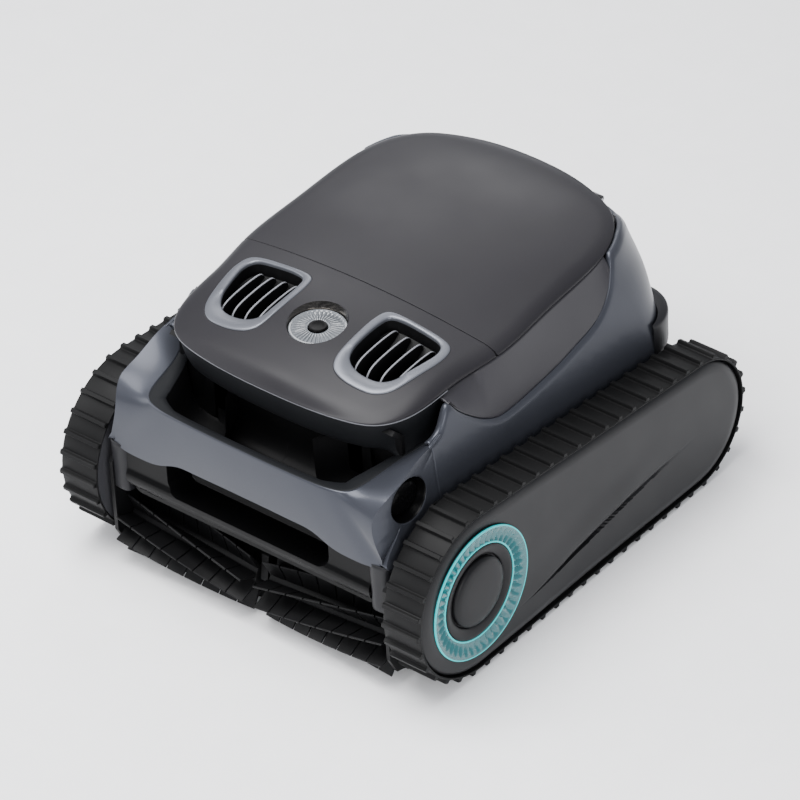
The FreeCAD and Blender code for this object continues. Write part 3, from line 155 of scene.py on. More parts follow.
def piece(name, parts, material, body, nodes=(), inside=None, wall=0.0, sharp=40.0, merge=0.01):
    """One object from (points, quads) parts in millimetres. Doubles are merged, faces turn away from the
    inside point, or outwards by volume, edges sharper than an angle stay crisp, and a wall grows inwards."""
    points, quads, start = [], [], 0
    for part_points, part_quads in parts:
        part_points = np.asarray(part_points, float).reshape(-1, 3)
        points.append(part_points)
        quads.append(np.asarray(part_quads) + start)
        start += len(part_points)
    mesh = bpy.data.meshes.new(name)
    mesh.from_pydata((np.vstack(points) / 1000).tolist(), [], np.vstack(quads).tolist())
    work = bmesh.new()
    work.from_mesh(mesh)
    bmesh.ops.remove_doubles(work, verts=work.verts, dist=merge / 1000)
    bmesh.ops.dissolve_degenerate(work, dist=1e-6, edges=work.edges)
    bmesh.ops.recalc_face_normals(work, faces=work.faces)
    work.to_mesh(mesh)
    work.free()
    areas = np.zeros(len(mesh.polygons))
    normals, centres = np.zeros(3 * len(areas)), np.zeros(3 * len(areas))
    mesh.polygons.foreach_get("area", areas)
    mesh.polygons.foreach_get("normal", normals)
    mesh.polygons.foreach_get("center", centres)
    centres = centres.reshape(-1, 3)
    middle = centres.mean(0) if inside is None else np.array(inside) / 1000
    if (areas * ((centres - middle) * normals.reshape(-1, 3)).sum(1)).sum() < 0:
        mesh.flip_normals()
    mesh.shade_smooth()
    mesh.set_sharp_from_angle(angle=math.radians(sharp))
    mesh.materials.append(material)
    item = bpy.data.objects.new(name, mesh)
    bpy.context.collection.objects.link(item)
    if wall:
        shell = item.modifiers.new("wall", "SOLIDIFY")
        shell.thickness, shell.offset = wall / 1000, -1.0
    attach(item, body)
    if nodes:
        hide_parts(*nodes)
    return item


# matt white floor: a soft contact shadow and no reflection
floor_finish = finish("matt_white_floor", "#f4f4f5", "#f7f7f8", 40.0, 0.0, 0.6)
FLOOR_HALF = 9000.0
floor_mesh = bpy.data.meshes.new("floor")
floor_mesh.from_pydata([(x * FLOOR_HALF / 1000, y * FLOOR_HALF / 1000, 0.0)
                        for x, y in ((-1, -1), (1, -1), (1, 1), (-1, 1))], [], [(0, 1, 2, 3)])
floor_mesh.materials.append(floor_finish)
floor = bpy.data.objects.new("floor", floor_mesh)
bpy.context.collection.objects.link(floor)

# ---------------------------------------------------------------- deck and filter lid
# The top is one low dome of satin-painted ABS, moulded in two pieces that meet at a bowed parting line.
# The front piece is the deck, screwed down over the pumps; the rear one is the lid over the filter basket.
# satin paint: near black, under one broad soft sheen
cover_paint = finish("satin_paint_on_abs", "#1b1a1d", "#1f1e21", 0.6, 0.02, 0.4, IOR=1.49,
                     Coat_Weight=0.05, Coat_Roughness=0.3)
RIM = [(0, -187), (42, -186), (86, -181), (118, -169), (131, -153), (139, -121), (141, -87), (149, -32),
       (147, 33), (145, 92), (140, 130), (130, 155), (106, 181), (88, 190), (50, 201), (0, 205)]
RIDGE = [(-195, 236), (-187, 244.5), (-182, 250), (-160, 260.5), (-134, 267.5), (-105, 272.2), (-42, 275.4),
         (30, 280.4), (100, 282.6), (155, 280.5), (188, 275), (208, 268.5)]
CROWN_RADIUS, SHOULDER = 750.0, 15.0
BUTTON_Y, RECESS_RADIUS = -108.0, 28.0
SIDES = (("left", -1), ("right", 1))


def mirrored(points, side):
    """The same points on the left (-1) or right (1) side."""
    return np.asarray(points) * (side, 1, 1)


def skin(grid, side=1, loop=True):
    """A grid as one part of a piece on the left (-1) or right (1) side, its rows closed into loops or open."""
    return mirrored(grid, side), lattice(*grid.shape[:2], wrap_columns=loop)


def smooth_line(points, count, closed=False):
    """A cubic spline through points, by solving for its second derivatives at the knots, then spaced
    evenly along its length."""
    points = np.asarray(points, float)
    if closed:
        points = np.vstack((points, points[:1]))
    knots = np.concatenate(([0.0], np.cumsum(np.linalg.norm(np.diff(points, axis=0), axis=1))))
    n, gap = len(points), np.diff(knots)
    slope = np.diff(points, axis=0) / gap[:, None]
    system, target = np.zeros((n, n)), np.zeros((n, points.shape[1]))
    inner = np.arange(1, n - 1)
    system[inner, inner - 1], system[inner, inner + 1] = gap[:-1], gap[1:]
    system[inner, inner] = 2 * (gap[:-1] + gap[1:])
    target[1:-1] = 6 * (slope[1:] - slope[:-1])
    system[0, 0] = system[-1, -1] = 1.0
    if closed:
        system[0, [0, 1, n - 2]] = 2 * (gap[0] + gap[-1]), gap[0], gap[-1]
        target[0] = 6 * (slope[0] - slope[-1])
        system[-1, 0] = -1.0
    bend = np.linalg.solve(system, target)
    at = np.linspace(0, knots[-1], 40 * n)
    i = np.clip(np.searchsorted(knots, at, side="right") - 1, 0, n - 2)
    a, b, h = (knots[i + 1] - at)[:, None], (at - knots[i])[:, None], gap[i][:, None]
    line = (bend[i] * a ** 3 + bend[i + 1] * b ** 3) / (6 * h)
    line += (points[i] / h - bend[i] * h / 6) * a + (points[i + 1] / h - bend[i + 1] * h / 6) * b
    length = np.concatenate(([0.0], np.cumsum(np.linalg.norm(np.diff(line, axis=0), axis=1))))
    at = np.linspace(0, length[-1], count + 1 if closed else count)[:count]
    return np.stack([np.interp(at, length, line[:, k]) for k in range(line.shape[1])], axis=1)


mirror_rim = [(-x, y) for x, y in RIM[-2:0:-1]]
rim_line = smooth_line(RIM + mirror_rim, 900, closed=True)
ridge_line = smooth_line(RIDGE, 200)


def rim_height(y):
    """The rim lies in one plane that rises slightly to the rear."""
    return 256.2 + 0.06 * y


def distance_to_line(points, line):
    """Shortest distance from each point to a closed line: its nearest vertex is found first, then the
    distance is taken to the two straight pieces that meet there."""
    flat = points.reshape(-1, 2)
    nearest = np.concatenate([((block[:, None] - line[None]) ** 2).sum(2).argmin(1)
                              for block in np.array_split(flat, max(1, len(flat) // 4000))])
    best = np.full(len(flat), np.inf)
    for step in (-1, 0):
        start = line[(nearest + step) % len(line)]
        along = line[(nearest + step + 1) % len(line)] - start
        share = np.clip(((flat - start) * along).sum(1) / (along ** 2).sum(1), 0, 1)[:, None]
        best = np.minimum(best, np.linalg.norm(flat - start - share * along, axis=1))
    return best.reshape(points.shape[:-1])


def cover_height(points):
    """The ridge height less a crown arc across; near the rim the height drops to the rim plane along
    a rounded shoulder, a superellipse quarter of the distance to the rim."""
    x, y = points[..., 0], points[..., 1]
    crown = np.interp(y, ridge_line[:, 0], ridge_line[:, 1]) - x ** 2 / (2 * CROWN_RADIUS)
    inward = np.clip(1 - distance_to_line(points, rim_line) / SHOULDER, 0, 1)
    drop = np.maximum(crown - rim_height(y), 0) * (1 - (1 - inward ** 2.4) ** (1 / 2.4))
    return crown - drop


def parting(x):
    """The parting line bows forward in the middle."""
    return -38 - 4 * (1 - (x / 150) ** 2)


def rim_x(y):
    """Half-width of the rim on the side at a given y."""
    half = rim_line[:450]
    side = half[(half[:, 1] > -150) & (half[:, 1] < 160)]
    return np.interp(y, side[:, 1], side[:, 0])


def even(line, count):
    """A line of points spaced evenly along its length."""
    length = np.concatenate(([0.0], np.cumsum(np.linalg.norm(np.diff(line, axis=0), axis=1))))
    at = np.linspace(0, length[-1], count)
    return np.stack([np.interp(at, length, line[:, k]) for k in range(line.shape[1])], axis=1)


PARTING_GAP, RIM_SIDE_X = 0.6, 149.0
SHOULDER_STEPS = np.array((0, .002, .006, .012, .02, .03, .042, .056, .072, .09, .11, .135, .17, .22, .28, .35,
                           .43, .52, .62, .72, .82, .91, 1.0))
corner_y = float(parting(RIM_SIDE_X))
half = rim_line[:451]
rear_half = half[half[:, 1] > corner_y + PARTING_GAP]
rear_rim = even(np.vstack((rear_half, (rear_half * (-1, 1))[::-1])), 360)
front_x = np.linspace(rear_rim[-1, 0], rear_rim[0, 0], 120)
lid_front = np.stack((front_x, parting(front_x) + PARTING_GAP), axis=1)
lid_outline = np.vstack((rear_rim, lid_front[1:-1]))
lid_centre = np.array((0.0, 75.0))
lid_plan = lid_outline[None] + (lid_centre - lid_outline[None]) * SHOULDER_STEPS[:, None, None]
piece("filter_lid_cover", [skin(np.dstack((lid_plan, cover_height(lid_plan))))],
      cover_paint, "lid", ["filter_lid"], inside=(0, 75, 100), wall=3.2, sharp=50)


def loop_at_angles(loop, centre, angles):
    """Points of a star-shaped loop in given directions from its centre."""
    away = loop - centre
    own = np.arctan2(away[:, 1], away[:, 0])
    order = np.argsort(own)
    reach = np.interp(angles, own[order], np.linalg.norm(away, axis=1)[order], period=2 * math.pi)
    return centre + reach[:, None] * np.stack((np.cos(angles), np.sin(angles)), axis=1)


def ring_patch(hole, centre, outline, steps):
    """Points on straight lines from an outline in to a hole, each at the outline point's own angle."""
    angles = np.arctan2(outline[:, 1] - centre[1], outline[:, 0] - centre[0])
    inner = loop_at_angles(hole, np.asarray(centre), angles)
    return outline[None] + (inner - outline)[None] * steps[:, None, None]


# nozzle frame outlines in plan, right side, counted from the front inner corner round the outside
FRAME_OUTER = [(47, -143), (60, -150), (80, -151.5), (97, -148), (108, -138), (114, -122), (119, -98),
               (121, -76), (117, -64), (105, -59.5), (80, -58.5), (56, -59), (44, -63),
               (40.3, -74), (40, -98), (41, -122)]
MOUTH = [(52, -126), (60, -132), (78, -134.5), (93, -131), (102, -122), (107, -108), (111, -90), (112, -75),
         (108, -67), (98, -64), (80, -63.3), (60, -64), (51, -67.5), (48, -77), (47.5, -98), (48.5, -115)]
NOZZLE_CENTRE = np.array((80.0, -104.0))
frame_outer = smooth_line(FRAME_OUTER, 240, closed=True)
mouth = smooth_line(MOUTH, 240, closed=True)
SEAM_X = 34.0
front_half = half[(half[:, 1] < corner_y - PARTING_GAP) & (half[:, 0] > SEAM_X)]
seam_front_y = float(np.interp(SEAM_X, half[:60, 0], half[:60, 1]))
deck_rear_x = np.linspace(front_half[-1, 0], SEAM_X, 50)
deck_rear = np.stack((deck_rear_x, parting(deck_rear_x) - PARTING_GAP), axis=1)
seam_y = np.linspace(deck_rear[-1, 1], seam_front_y, 50)
seam = np.stack((np.full(50, SEAM_X), seam_y), axis=1)
rim_front = even(np.vstack(([[SEAM_X, seam_front_y]], front_half)), 150)
side_outline = np.vstack((rim_front[:-1], deck_rear[:-1], seam[:-1]))
DECK_STEPS = np.array((0, .006, .02, .04, .07, .105, .145, .19, .24, .3, .37, .45, .54, .64, .74, .84, .92,
                       .97, 1.0))
side_plan = ring_patch(frame_outer, NOZZLE_CENTRE, side_outline, DECK_STEPS)
middle_rim = half[(half[:, 0] < SEAM_X) & (half[:, 1] < 0)]
front_line = even(np.vstack(((middle_rim * (-1, 1))[::-1], middle_rim, [[SEAM_X, seam_front_y]])), 60)
front_line[0] = -SEAM_X, seam_front_y
rear_x = np.linspace(SEAM_X, -SEAM_X, 60)
rear_line = np.stack((rear_x, parting(rear_x) - PARTING_GAP), axis=1)
middle_outline = np.vstack((front_line[:-1], seam[::-1][:-1], rear_line[:-1], (seam * (-1, 1))[:-1]))
turn = np.linspace(0, 2 * math.pi, 241)[:-1]
recess = np.array((0, BUTTON_Y)) + RECESS_RADIUS * np.stack((np.cos(turn), np.sin(turn)), axis=1)
middle_plan = ring_patch(recess, (0, BUTTON_Y), middle_outline, DECK_STEPS)
deck_parts = [skin(np.dstack((plan, cover_height(plan)))) for plan in (side_plan, side_plan * (-1, 1), middle_plan)]
piece("nozzle_deck_cover", deck_parts, cover_paint, "body", ["nozzle_deck"],
      inside=(0, -105, 100), wall=3.2, sharp=50, merge=0.05)

# ---------------------------------------------------------------- outlet nozzles
# Each pump blows out through a silver frame let into the deck, with a dished lip at the front.
# The frame is die-cast zinc with a satin plating, clipped in from above, over a black moulded throat.
# satin plating: a metal grey whose blurred reflections brighten on the rolled edges
plating = finish("satin_plated_zinc", "#5b5d63", "#65676d", 0.5, 0.006, 0.36, Metallic=0.6)
# black ABS: deep and matt, so the ducts read as holes
black_abs = finish("black_moulded_abs", "#060607", "#0b0b0c", 0.8, 0.03, 0.5, IOR=1.52)
FRAME_ROWS = ((0.0, -4.0, 0), (0.05, -0.2, 0), (0.25, 0.35, 0), (0.7, 0.7, 0), (1.4, 0.9, 0), (0.3, 1.0, 1),
              (0.5, 0.95, 1), (0.7, 0.8, 1), (0.85, 0.55, 1), (0.95, 0.1, 1), (1.0, -0.8, 1), (1.0, -3.0, 1))
LIP_DROP, THROAT_TOP, DUCT_BACK, DUCT_REACH = 3.4, -0.9, 246.0, 29.0
DUCT_X, DUCT_Y = 81, -105
SHOULDER_DROP, SHOULDER_SHRINK = -12.0, 0.985

angles = np.arctan2(*(frame_outer - NOZZLE_CENTRE).T[::-1])
frame_inner = loop_at_angles(mouth, NOZZLE_CENTRE, angles)
across = frame_inner - frame_outer
width = np.linalg.norm(across, axis=1)
frontness = np.clip((-np.sin(angles) - 0.35) / 0.65, 0, 1) ** 0.8
rows = []
for reach, rise, as_share in FRAME_ROWS:
    share = np.full(len(width), reach) if as_share else reach / width
    plan = frame_outer + across * share[:, None]
    dip = LIP_DROP * frontness * np.clip(share * 1.15, 0, 1) ** 2
    rows.append(np.column_stack((plan, cover_height(plan) + rise - dip)))
frame_grid = np.array(rows)
top_ring = frame_grid[-1]
duct_ring = np.column_stack((DUCT_X + DUCT_REACH * np.cos(angles), DUCT_Y + DUCT_REACH * np.sin(angles),
                             np.full(len(angles), DUCT_BACK)))
throat_shoulder = top_ring + (0, 0, SHOULDER_DROP)
throat_shoulder[:, :2] = NOZZLE_CENTRE + (throat_shoulder[:, :2] - NOZZLE_CENTRE) * SHOULDER_SHRINK
throat_rows = [throat_shoulder + (duct_ring - throat_shoulder) * share for share in np.linspace(0, 1, 6)]
throat_grid = np.array([top_ring + (0, 0, 0.02), top_ring + (0, 0, THROAT_TOP)] + throat_rows)
FIN_PLACES = (57.5, 71.5, 86.0, 100.0)
FIN_TOP = [(-66, -13.0), (-69, -10.0), (-76, -8.2), (-90, -7.4), (-104, -7.2), (-116, -7.6), (-123, -9.6),
           (-127, -14.0), (-128.5, -20.0)]
FIN_SECTION = ((-1.0, -16.0), (-1.0, -1.2), (-0.8, -0.5), (0.8, -0.5), (1.0, -1.2), (1.0, -16.0))
# section of the pale strip laid on each vane's top as a painted highlight
HIGHLIGHT_SECTION = ((-0.85, -0.9), (-0.85, -0.3), (-0.5, 0.0), (0.5, 0.0), (0.85, -0.3), (0.85, -0.9))
fin_line = smooth_line(FIN_TOP, 40)
# painted highlight: a pale grey strip along each vane's upper edge stands in for the light it catches
vane_edge_highlight = finish("vane_edge_painted_highlight", "#6a6b70", "#77787d", 0.8, 0.02, 0.35, IOR=1.52)


def capped(grid):
    """Closes both ends of a carried profile with a fan to its middle point."""
    ends = [np.repeat(grid[i].mean(0)[None], grid.shape[1], axis=0)[None] for i in (0, -1)]
    return np.concatenate((ends[0], grid, ends[1]))


# each vane carries a thin pale strip along its top, a painted highlight
fins, vane_highlight_strips = [], []
for fin_x in FIN_PLACES:
    base = cover_height(np.column_stack((np.full(len(fin_line), fin_x), fin_line[:, 0])))
    for shape, kept in ((FIN_SECTION, fins), (HIGHLIGHT_SECTION, vane_highlight_strips)):
        section = np.array(shape)
        grid = np.stack([np.column_stack((fin_x + section[:, 0], np.full(len(section), y), z + drop + section[:, 1]))
                         for (y, drop), z in zip(fin_line, base)])
        kept.append(capped(grid))
for name, side in SIDES:
    piece(f"nozzle_frame_cast_{name}", [skin(frame_grid, side)],
          plating, "body", [f"nozzle_frame_{name}"], inside=(DUCT_X * side, DUCT_Y, 200), sharp=60)
    piece(f"nozzle_throat_{name}", [skin(throat_grid, side)],
          black_abs, "body", inside=(DUCT_X * side, DUCT_Y, 900))
    piece(f"nozzle_vanes_{name}", [skin(grid, side) for grid in fins],
          black_abs, "body", [f"nozzle_fins_{name}"], sharp=50)
    piece(f"nozzle_vane_painted_highlights_{name}", [skin(grid, side) for grid in vane_highlight_strips], vane_edge_highlight,
          "body", sharp=50)

# ---------------------------------------------------------------- power button
# A dark plated ring lines the recess, a clear faceted disc lies level in it and glows when switched on,
# and the black push button stands in the middle on its own spring.
# dark plating: a warm and crisp reflection round the recess
chrome = finish("dark_plated_ring", "#5c5854", "#625e5a", 1.5, 0.0, 0.14, spread=0.03, Metallic=1.0)
# clear acrylic: facets that glint one by one
clear_disc = finish("faceted_clear_acrylic", "#5d6064", "#6c6f73", 2.0, 0.0, 0.14, spread=0.04, IOR=1.49,
                    Coat_Weight=0.6, Coat_Roughness=0.05, Specular_IOR_Level=0.5)
# gloss-moulded ABS: black, with a small clear highlight
gloss_black = finish("gloss_black_abs", "#040404", "#070708", 1.0, 0.01, 0.3, spread=0.05, IOR=1.5,
                     Specular_IOR_Level=0.07)
DISC_PROFILE = ((26.9, 263.6), (26.6, 265.1), (25.9, 265.6), (24.6, 265.5), (23.6, 264.6), (22.0, 264.4),
                (12.5, 265.6), (11.0, 265.7), (9.6, 265.2), (9.2, 263.0))
BUTTON_PROFILE = ((8.6, 261.0), (8.6, 266.6), (8.2, 267.1), (7.2, 267.3), (5.6, 267.0), (3.0, 266.7), (0.0, 266.6))
FACETS = 36


def revolve(profile, centre, axis, count):
    """A profile of (radius, place along the axis) carried round an x or z axis through a centre."""
    radius, along = np.array(profile).T
    around = np.linspace(0, 2 * math.pi, count + 1)[:-1]
    first, second = radius[:, None] * np.cos(around), radius[:, None] * np.sin(around)
    level = np.broadcast_to(along[:, None], first.shape)
    first, second = first + centre[0], second + centre[1]
    return np.stack((level, first, second) if axis == "x" else (first, second, level), axis=2)


# recess wall: plan shrink and share of the way down
WELL_WALL, WELL_FLOOR = ((0.995, 0.12), (0.985, 0.5), (0.97, 0.85), (0.955, 1.0)), 263.4
ring_top = np.column_stack((recess, cover_height(recess)))
well_rows = [ring_top + (0, 0, -0.2)]
for shrink, share in WELL_WALL:
    row = ring_top.copy()
    row[:, :2] = (row[:, :2] - (0, BUTTON_Y)) * shrink + (0, BUTTON_Y)
    row[:, 2] = (ring_top[:, 2] - 0.2) * (1 - share) + WELL_FLOOR * share
    well_rows.append(row)
well_grid = np.array(well_rows)
piece("button_recess_ring", [skin(well_grid)], chrome, "body",
      ["power_bezel"], inside=(0, BUTTON_Y, 900))
disc_grid = revolve(DISC_PROFILE, (0, BUTTON_Y), "z", FACETS * 4)
facet_side = np.where(np.arange(FACETS * 4) % 4 < 2, 1, -1)
disc_grid[4:8, :, 2] += 0.8 * facet_side * np.array((0.4, 1, 1, 0.5))[:, None]
piece("button_faceted_disc", [skin(disc_grid)], clear_disc, "body",
      inside=(0, BUTTON_Y, 200), sharp=25)
button_grid = revolve(BUTTON_PROFILE, (0, BUTTON_Y), "z", 72)
piece("button_cap", [skin(button_grid)], gloss_black, "button",
      ["power_button"], inside=(0, BUTTON_Y, 200))

# ---------------------------------------------------------------- painted body shell
# The sides and rear are one painted ABS shell. It leans in towards the top, and its upper edge sweeps
# down round the side panels and up again as a collar round the rear of the lid.
# metallic lacquer: a cool grey that turns lighter where it faces the light
paint = finish("metallic_lacquer_on_abs", "#33353b", "#3b3d44", 0.35, 0.006, 0.36, Metallic=0.5, IOR=1.5,
               Coat_Weight=0.12, Coat_Roughness=0.15)
# the shell's lacquer again, without flake and darkened: painted shade for the quiet surfaces in the shadow of the rim
shaded_lacquer = finish("lacquer_with_painted_shade", "#121315", "#161719", 0.5, 0.01, 0.48, IOR=1.5,
                    Specular_IOR_Level=0.08)
HALF_WIDTHS = [(60, 163), (150, 163), (170, 160.5), (200, 157), (230, 153), (255, 149), (270, 146.6)]
REAR_PLACES = [(110, 204), (160, 205), (190, 208), (212, 211), (235, 211), (270, 210)]
CORNER_RADII = [(110, 40), (150, 44), (170, 48), (200, 62), (230, 80), (262, 95), (270, 97)]
SHELL_TOP = [(-140, 221.5), (-125, 225.5), (-107.5, 243), (-100, 234), (-88, 221), (-74, 209), (-58, 199),
             (-47, 194.6), (-32, 193.2), (-18, 193.5), (10, 195.7), (40, 199), (72, 205.2), (99, 213), (112, 223),
             (121, 236), (127, 251), (132, 261)]
EDGE_LIP = np.array(((1.0, 0.8), (2.6, 1.2), (4.4, 1.0), (5.6, 0.2), (6.2, -1.2), (6.4, -5.0)))
EDGE_ROUND, EDGE_PULL, COLLAR_Y, COLLAR_GAP = 6, 1.8, 132, 1.6


def table(pairs, at):
    """Reads a value off a smooth curve through (place, value) pairs."""
    line = smooth_line(pairs, 200)
    return np.interp(at, line[:, 0], line[:, 1])


def shell_column(kind, place, z):
    """A point of the right half of the shell at height z: on the straight side, the corner arc or the rear."""
    half_width, rear, radius = table(HALF_WIDTHS, z), table(REAR_PLACES, z), table(CORNER_RADII, z)
    corner_x, corner_y = half_width - radius, rear - radius
    if kind == "side":
        return half_width, np.where(place < 100, place, 100 + (place - 100) / 20 * (corner_y - 100)), 0.0
    if kind == "arc":
        return corner_x + radius * math.cos(place), corner_y + radius * math.sin(place), place
    return corner_x * (1 - place), rear + 0 * z, math.pi / 2


shell_columns = [("side", y) for y in np.concatenate((np.linspace(-140, -60, 41), np.linspace(-57, 98, 52),
                                                      np.linspace(101, 120, 8)))]
shell_columns += [("arc", a) for a in np.linspace(0, math.pi / 2, 34)[1:-1]]
shell_columns += [("rear", s) for s in np.linspace(0, 1, 20)]
shell_rows = []
top_line = smooth_line(SHELL_TOP, 400)
for kind, place in shell_columns:
    z = np.array(200.0)
    for _ in range(12):
        x, y, lean = shell_column(kind, place, z)
        collar = rim_height(float(y)) - COLLAR_GAP
        top = min(float(np.interp(y, top_line[:, 0], top_line[:, 1])), collar) if y < COLLAR_Y else collar
        if kind != "side":
            top = np.interp(x, (96, 134), (248, top))
        z = np.array(0.5 * float(z) + 0.5 * top)
    top = float(z)
    levels = np.concatenate((np.linspace(118, top - EDGE_ROUND, 26), top - np.array((4.5, 3, 1.5, 0.6, 0))))
    pull = np.clip((levels - (top - EDGE_ROUND)) / EDGE_ROUND, 0, 1) ** 2 * EDGE_PULL
    x, y, lean = shell_column(kind, place, levels)
    x = np.broadcast_to(x, levels.shape) - pull * math.cos(lean)
    y = np.broadcast_to(y, levels.shape) - pull * math.sin(lean)
    x = np.concatenate((x, x[-1] - EDGE_LIP[:, 0] * math.cos(lean)))
    y = np.concatenate((y, y[-1] - EDGE_LIP[:, 0] * math.sin(lean)))
    shell_rows.append(np.column_stack((x, y, np.concatenate((levels, levels[-1] + EDGE_LIP[:, 1])))))
shell_grid = np.array(shell_rows)
piece("body_shell", [skin(shell_grid, side, loop=False) for _, side in SIDES], paint, "body",
      ["shell_side_left", "shell_side_right", "shell_rear"], inside=(0, 20, 150), wall=2.5, sharp=60, merge=0.02)

# ---------------------------------------------------------------- side panels
# A satin panel fills each side between the shell's swept edge and the rim of the top covers.
# It is a separate moulding that clips in behind the shell's lip, so a thin dark joint shows all round.
# satin grey paint: one shade lighter than the covers
panel_paint = finish("satin_grey_panel", "#2b2a2d", "#313034", 0.6, 0.015, 0.34, IOR=1.49,
                     Coat_Weight=0.1, Coat_Roughness=0.25)
PANEL_JOINT = 1.3
panel_y = np.linspace(-106.0, 126.5, 110)
panel_low = np.interp(panel_y, top_line[:, 0], top_line[:, 1]) + PANEL_JOINT
under_deck = np.clip((-58 - panel_y) / 6, 0, 1)
panel_high = rim_height(panel_y) - 1.0 - 2.5 * under_deck
panel_share = np.concatenate(([0.0, 0.0, 0.004, 0.012], np.linspace(0.03, 1, 24)))
sink = np.concatenate(([5.0, 1.6, 0.9, 0.6], np.full(24, 0.5)))
panel_z = panel_low[:, None] + (panel_high - panel_low)[:, None] * panel_share
flank = table(HALF_WIDTHS, panel_z.ravel()).reshape(panel_z.shape)
top_gap = (rim_x(panel_y) - 0.4 - 2.6 * under_deck)[:, None] - table(HALF_WIDTHS, panel_high)[:, None]
panel_x = flank - 1.8 - sink + (top_gap + 2.3) * panel_share ** 1.4
panel_grid = np.stack((panel_x, np.broadcast_to(panel_y[:, None], panel_x.shape), panel_z), axis=2)
for name, side in SIDES:
    piece(f"side_panel_cover_{name}", [skin(panel_grid, side, loop=False)], panel_paint, "body",
          [f"side_panel_{name}"], inside=(0, 20, 200), wall=2.0, sharp=50)

# ---------------------------------------------------------------- front arms and crossbar
# The shell runs forward as two arms joined by a crossbar, the grip for lifting the machine out.
# A sharp ridge sweeps down each arm to a point at the front corner. A band edges the hand hollow, in the darkened
# lacquer as painted shade.
ARM_PAIRS = [((147, -119, 217.5), (153, -126, 225)), ((139, -133, 210.5), (155, -140, 221.5)),
             ((131.7, -151, 206), (155, -157, 219)), ((126.5, -176, 202), (156, -188, 207)),
             ((123.5, -196, 200), (156, -208, 202)), ((121.5, -205, 199.3), (152, -217, 194)),
             ((118.5, -210.5, 198.8), (148.5, -222, 185)), ((115, -213.6, 198.5), (150, -222.5, 174)),
             ((111, -215.7, 198.2), (153, -222.5, 161)), ((106, -217.4, 198), (158, -221.5, 148)),
             ((100, -218.8, 198), (163, -218.5, 138))]
BAR_PAIRS = [((100, -218.8, 198), (163, -218.5, 138)), ((95, -219.7, 198), (151, -222.2, 133.6)),
             ((89, -220.4, 198), (138, -223, 132.6)), ((83, -220.9, 198.1), (118, -223, 132.8)),
             ((77, -221.4, 198.2), (102, -223, 133.6)), ((71, -221.8, 198.3), (92, -223, 138.5)),
             ((64, -222.2, 198.4), (82, -223, 143.6)), ((50, -222.6, 198.5), (66, -223, 144.6)),
             ((24, -223, 198.5), (30, -223, 144.8)), ((0, -223, 198.5), (0, -223, 144.8))]
EASING, FACE_BOW = 60, (0, -1.2, 0.8)
face_share = np.linspace(0, 1, 22)[:, None]


def ribbon(line, height, way, rows):
    """A strip of surface beside a plan line: each row lies some way off the line and some drop off its height."""
    return np.stack([np.column_stack((line + way * reach, height + drop)) for reach, drop in rows], axis=1)


def eased(line, passes):
    """A line with its kinks eased: every inner point moved half way to its neighbours' mean, many times over."""
    line = line.copy()
    for _ in range(passes):
        line[1:-1] = (line[:-2] + 2 * line[1:-1] + line[2:]) / 4
    return line


edges = smooth_line([inner + outer for inner, outer in ARM_PAIRS + BAR_PAIRS[1:]], 200)
ruled = edges[:, None, :3] * (1 - face_share) + edges[:, None, 3:] * face_share
front_face = eased(ruled, EASING) + 4 * (face_share * (1 - face_share))[None] * np.array(FACE_BOW)
tip = int(np.argmin(np.abs(front_face[:, -1] - BAR_PAIRS[0][1]).sum(1)))
arm_face, bar_face = front_face[:tip + 1], front_face[tip:]
lower_edge = bar_face[:, -1]
UNDER_STEPS = ((0, 0, 0), (0, 1.0, -0.6), (0, 3.0, -0.4), (0, 12, 1.0))
under = np.stack([lower_edge + step for step in UNDER_STEPS], axis=1)
inner_line = front_face[:, 0]
inward = np.gradient(inner_line, axis=0)
inward = np.column_stack((inward[:, 1], -inward[:, 0]))
inward /= np.linalg.norm(inward, axis=1)[:, None]
inward *= np.sign((inward * (np.array((0.0, -60.0)) - inner_line[:, :2])).sum(1))[:, None]
run = np.linspace(0, 1, len(inner_line))
band_width = np.interp(run, (0, 0.12, 0.3, 0.45, 0.6, 1), (1.5, 9, 16, 15, 9.5, 9.0))[:, None]
BAND_ROWS = ((0.0, 0.0), (0.03, 0.15), (0.15, 0.3), (0.6, -0.4), (0.92, -1.2), (1.0, -2.2))
band_grid = ribbon(inner_line[:, :2], inner_line[:, 2], inward * band_width, BAND_ROWS)
LINER_ROWS = ((0.0, -2.2), (0.8, -5.0), (3.0, -22.0), (6.5, -38.0), (13.0, -46.5), (26.0, -49.5), (44.0, -49.0),
              (52.0, -44.0), (56.0, -30.0), (57.0, -8.0), (57.5, 8.0))
liner_grid = ribbon(inner_line[:, :2] + inward * band_width, inner_line[:, 2], inward, LINER_ROWS)
liner_grid[:, :, 0] = np.maximum(liner_grid[:, :, 0], 0)
liner_grid[:, 1:, 1] = np.minimum(liner_grid[:, 1:, 1], -157)
# the side of the arm is cut round the sonar eye
SONAR_Y, SONAR_Z, SONAR_RADIUS, EYE_STRETCH = -179.5, 187.0, 20.5, 1.15
FRONT_PULL = [(136, 0), (148, 5), (161, 8.5), (174, 10), (185, 10.5), (194, 6), (202, 1), (212, 0), (226, 0)]


def arm_side(points):
    """Half-width of the arm: the body's own lean, pulled in towards the ridge at the front corner."""
    y, z = points[..., 0], points[..., 1]
    pull = np.clip((-199 - y) / 23, 0, 1.05) ** 1.6 * np.interp(z, *np.array(FRONT_PULL).T)
    return table(HALF_WIDTHS, z.ravel()).reshape(z.shape) - pull


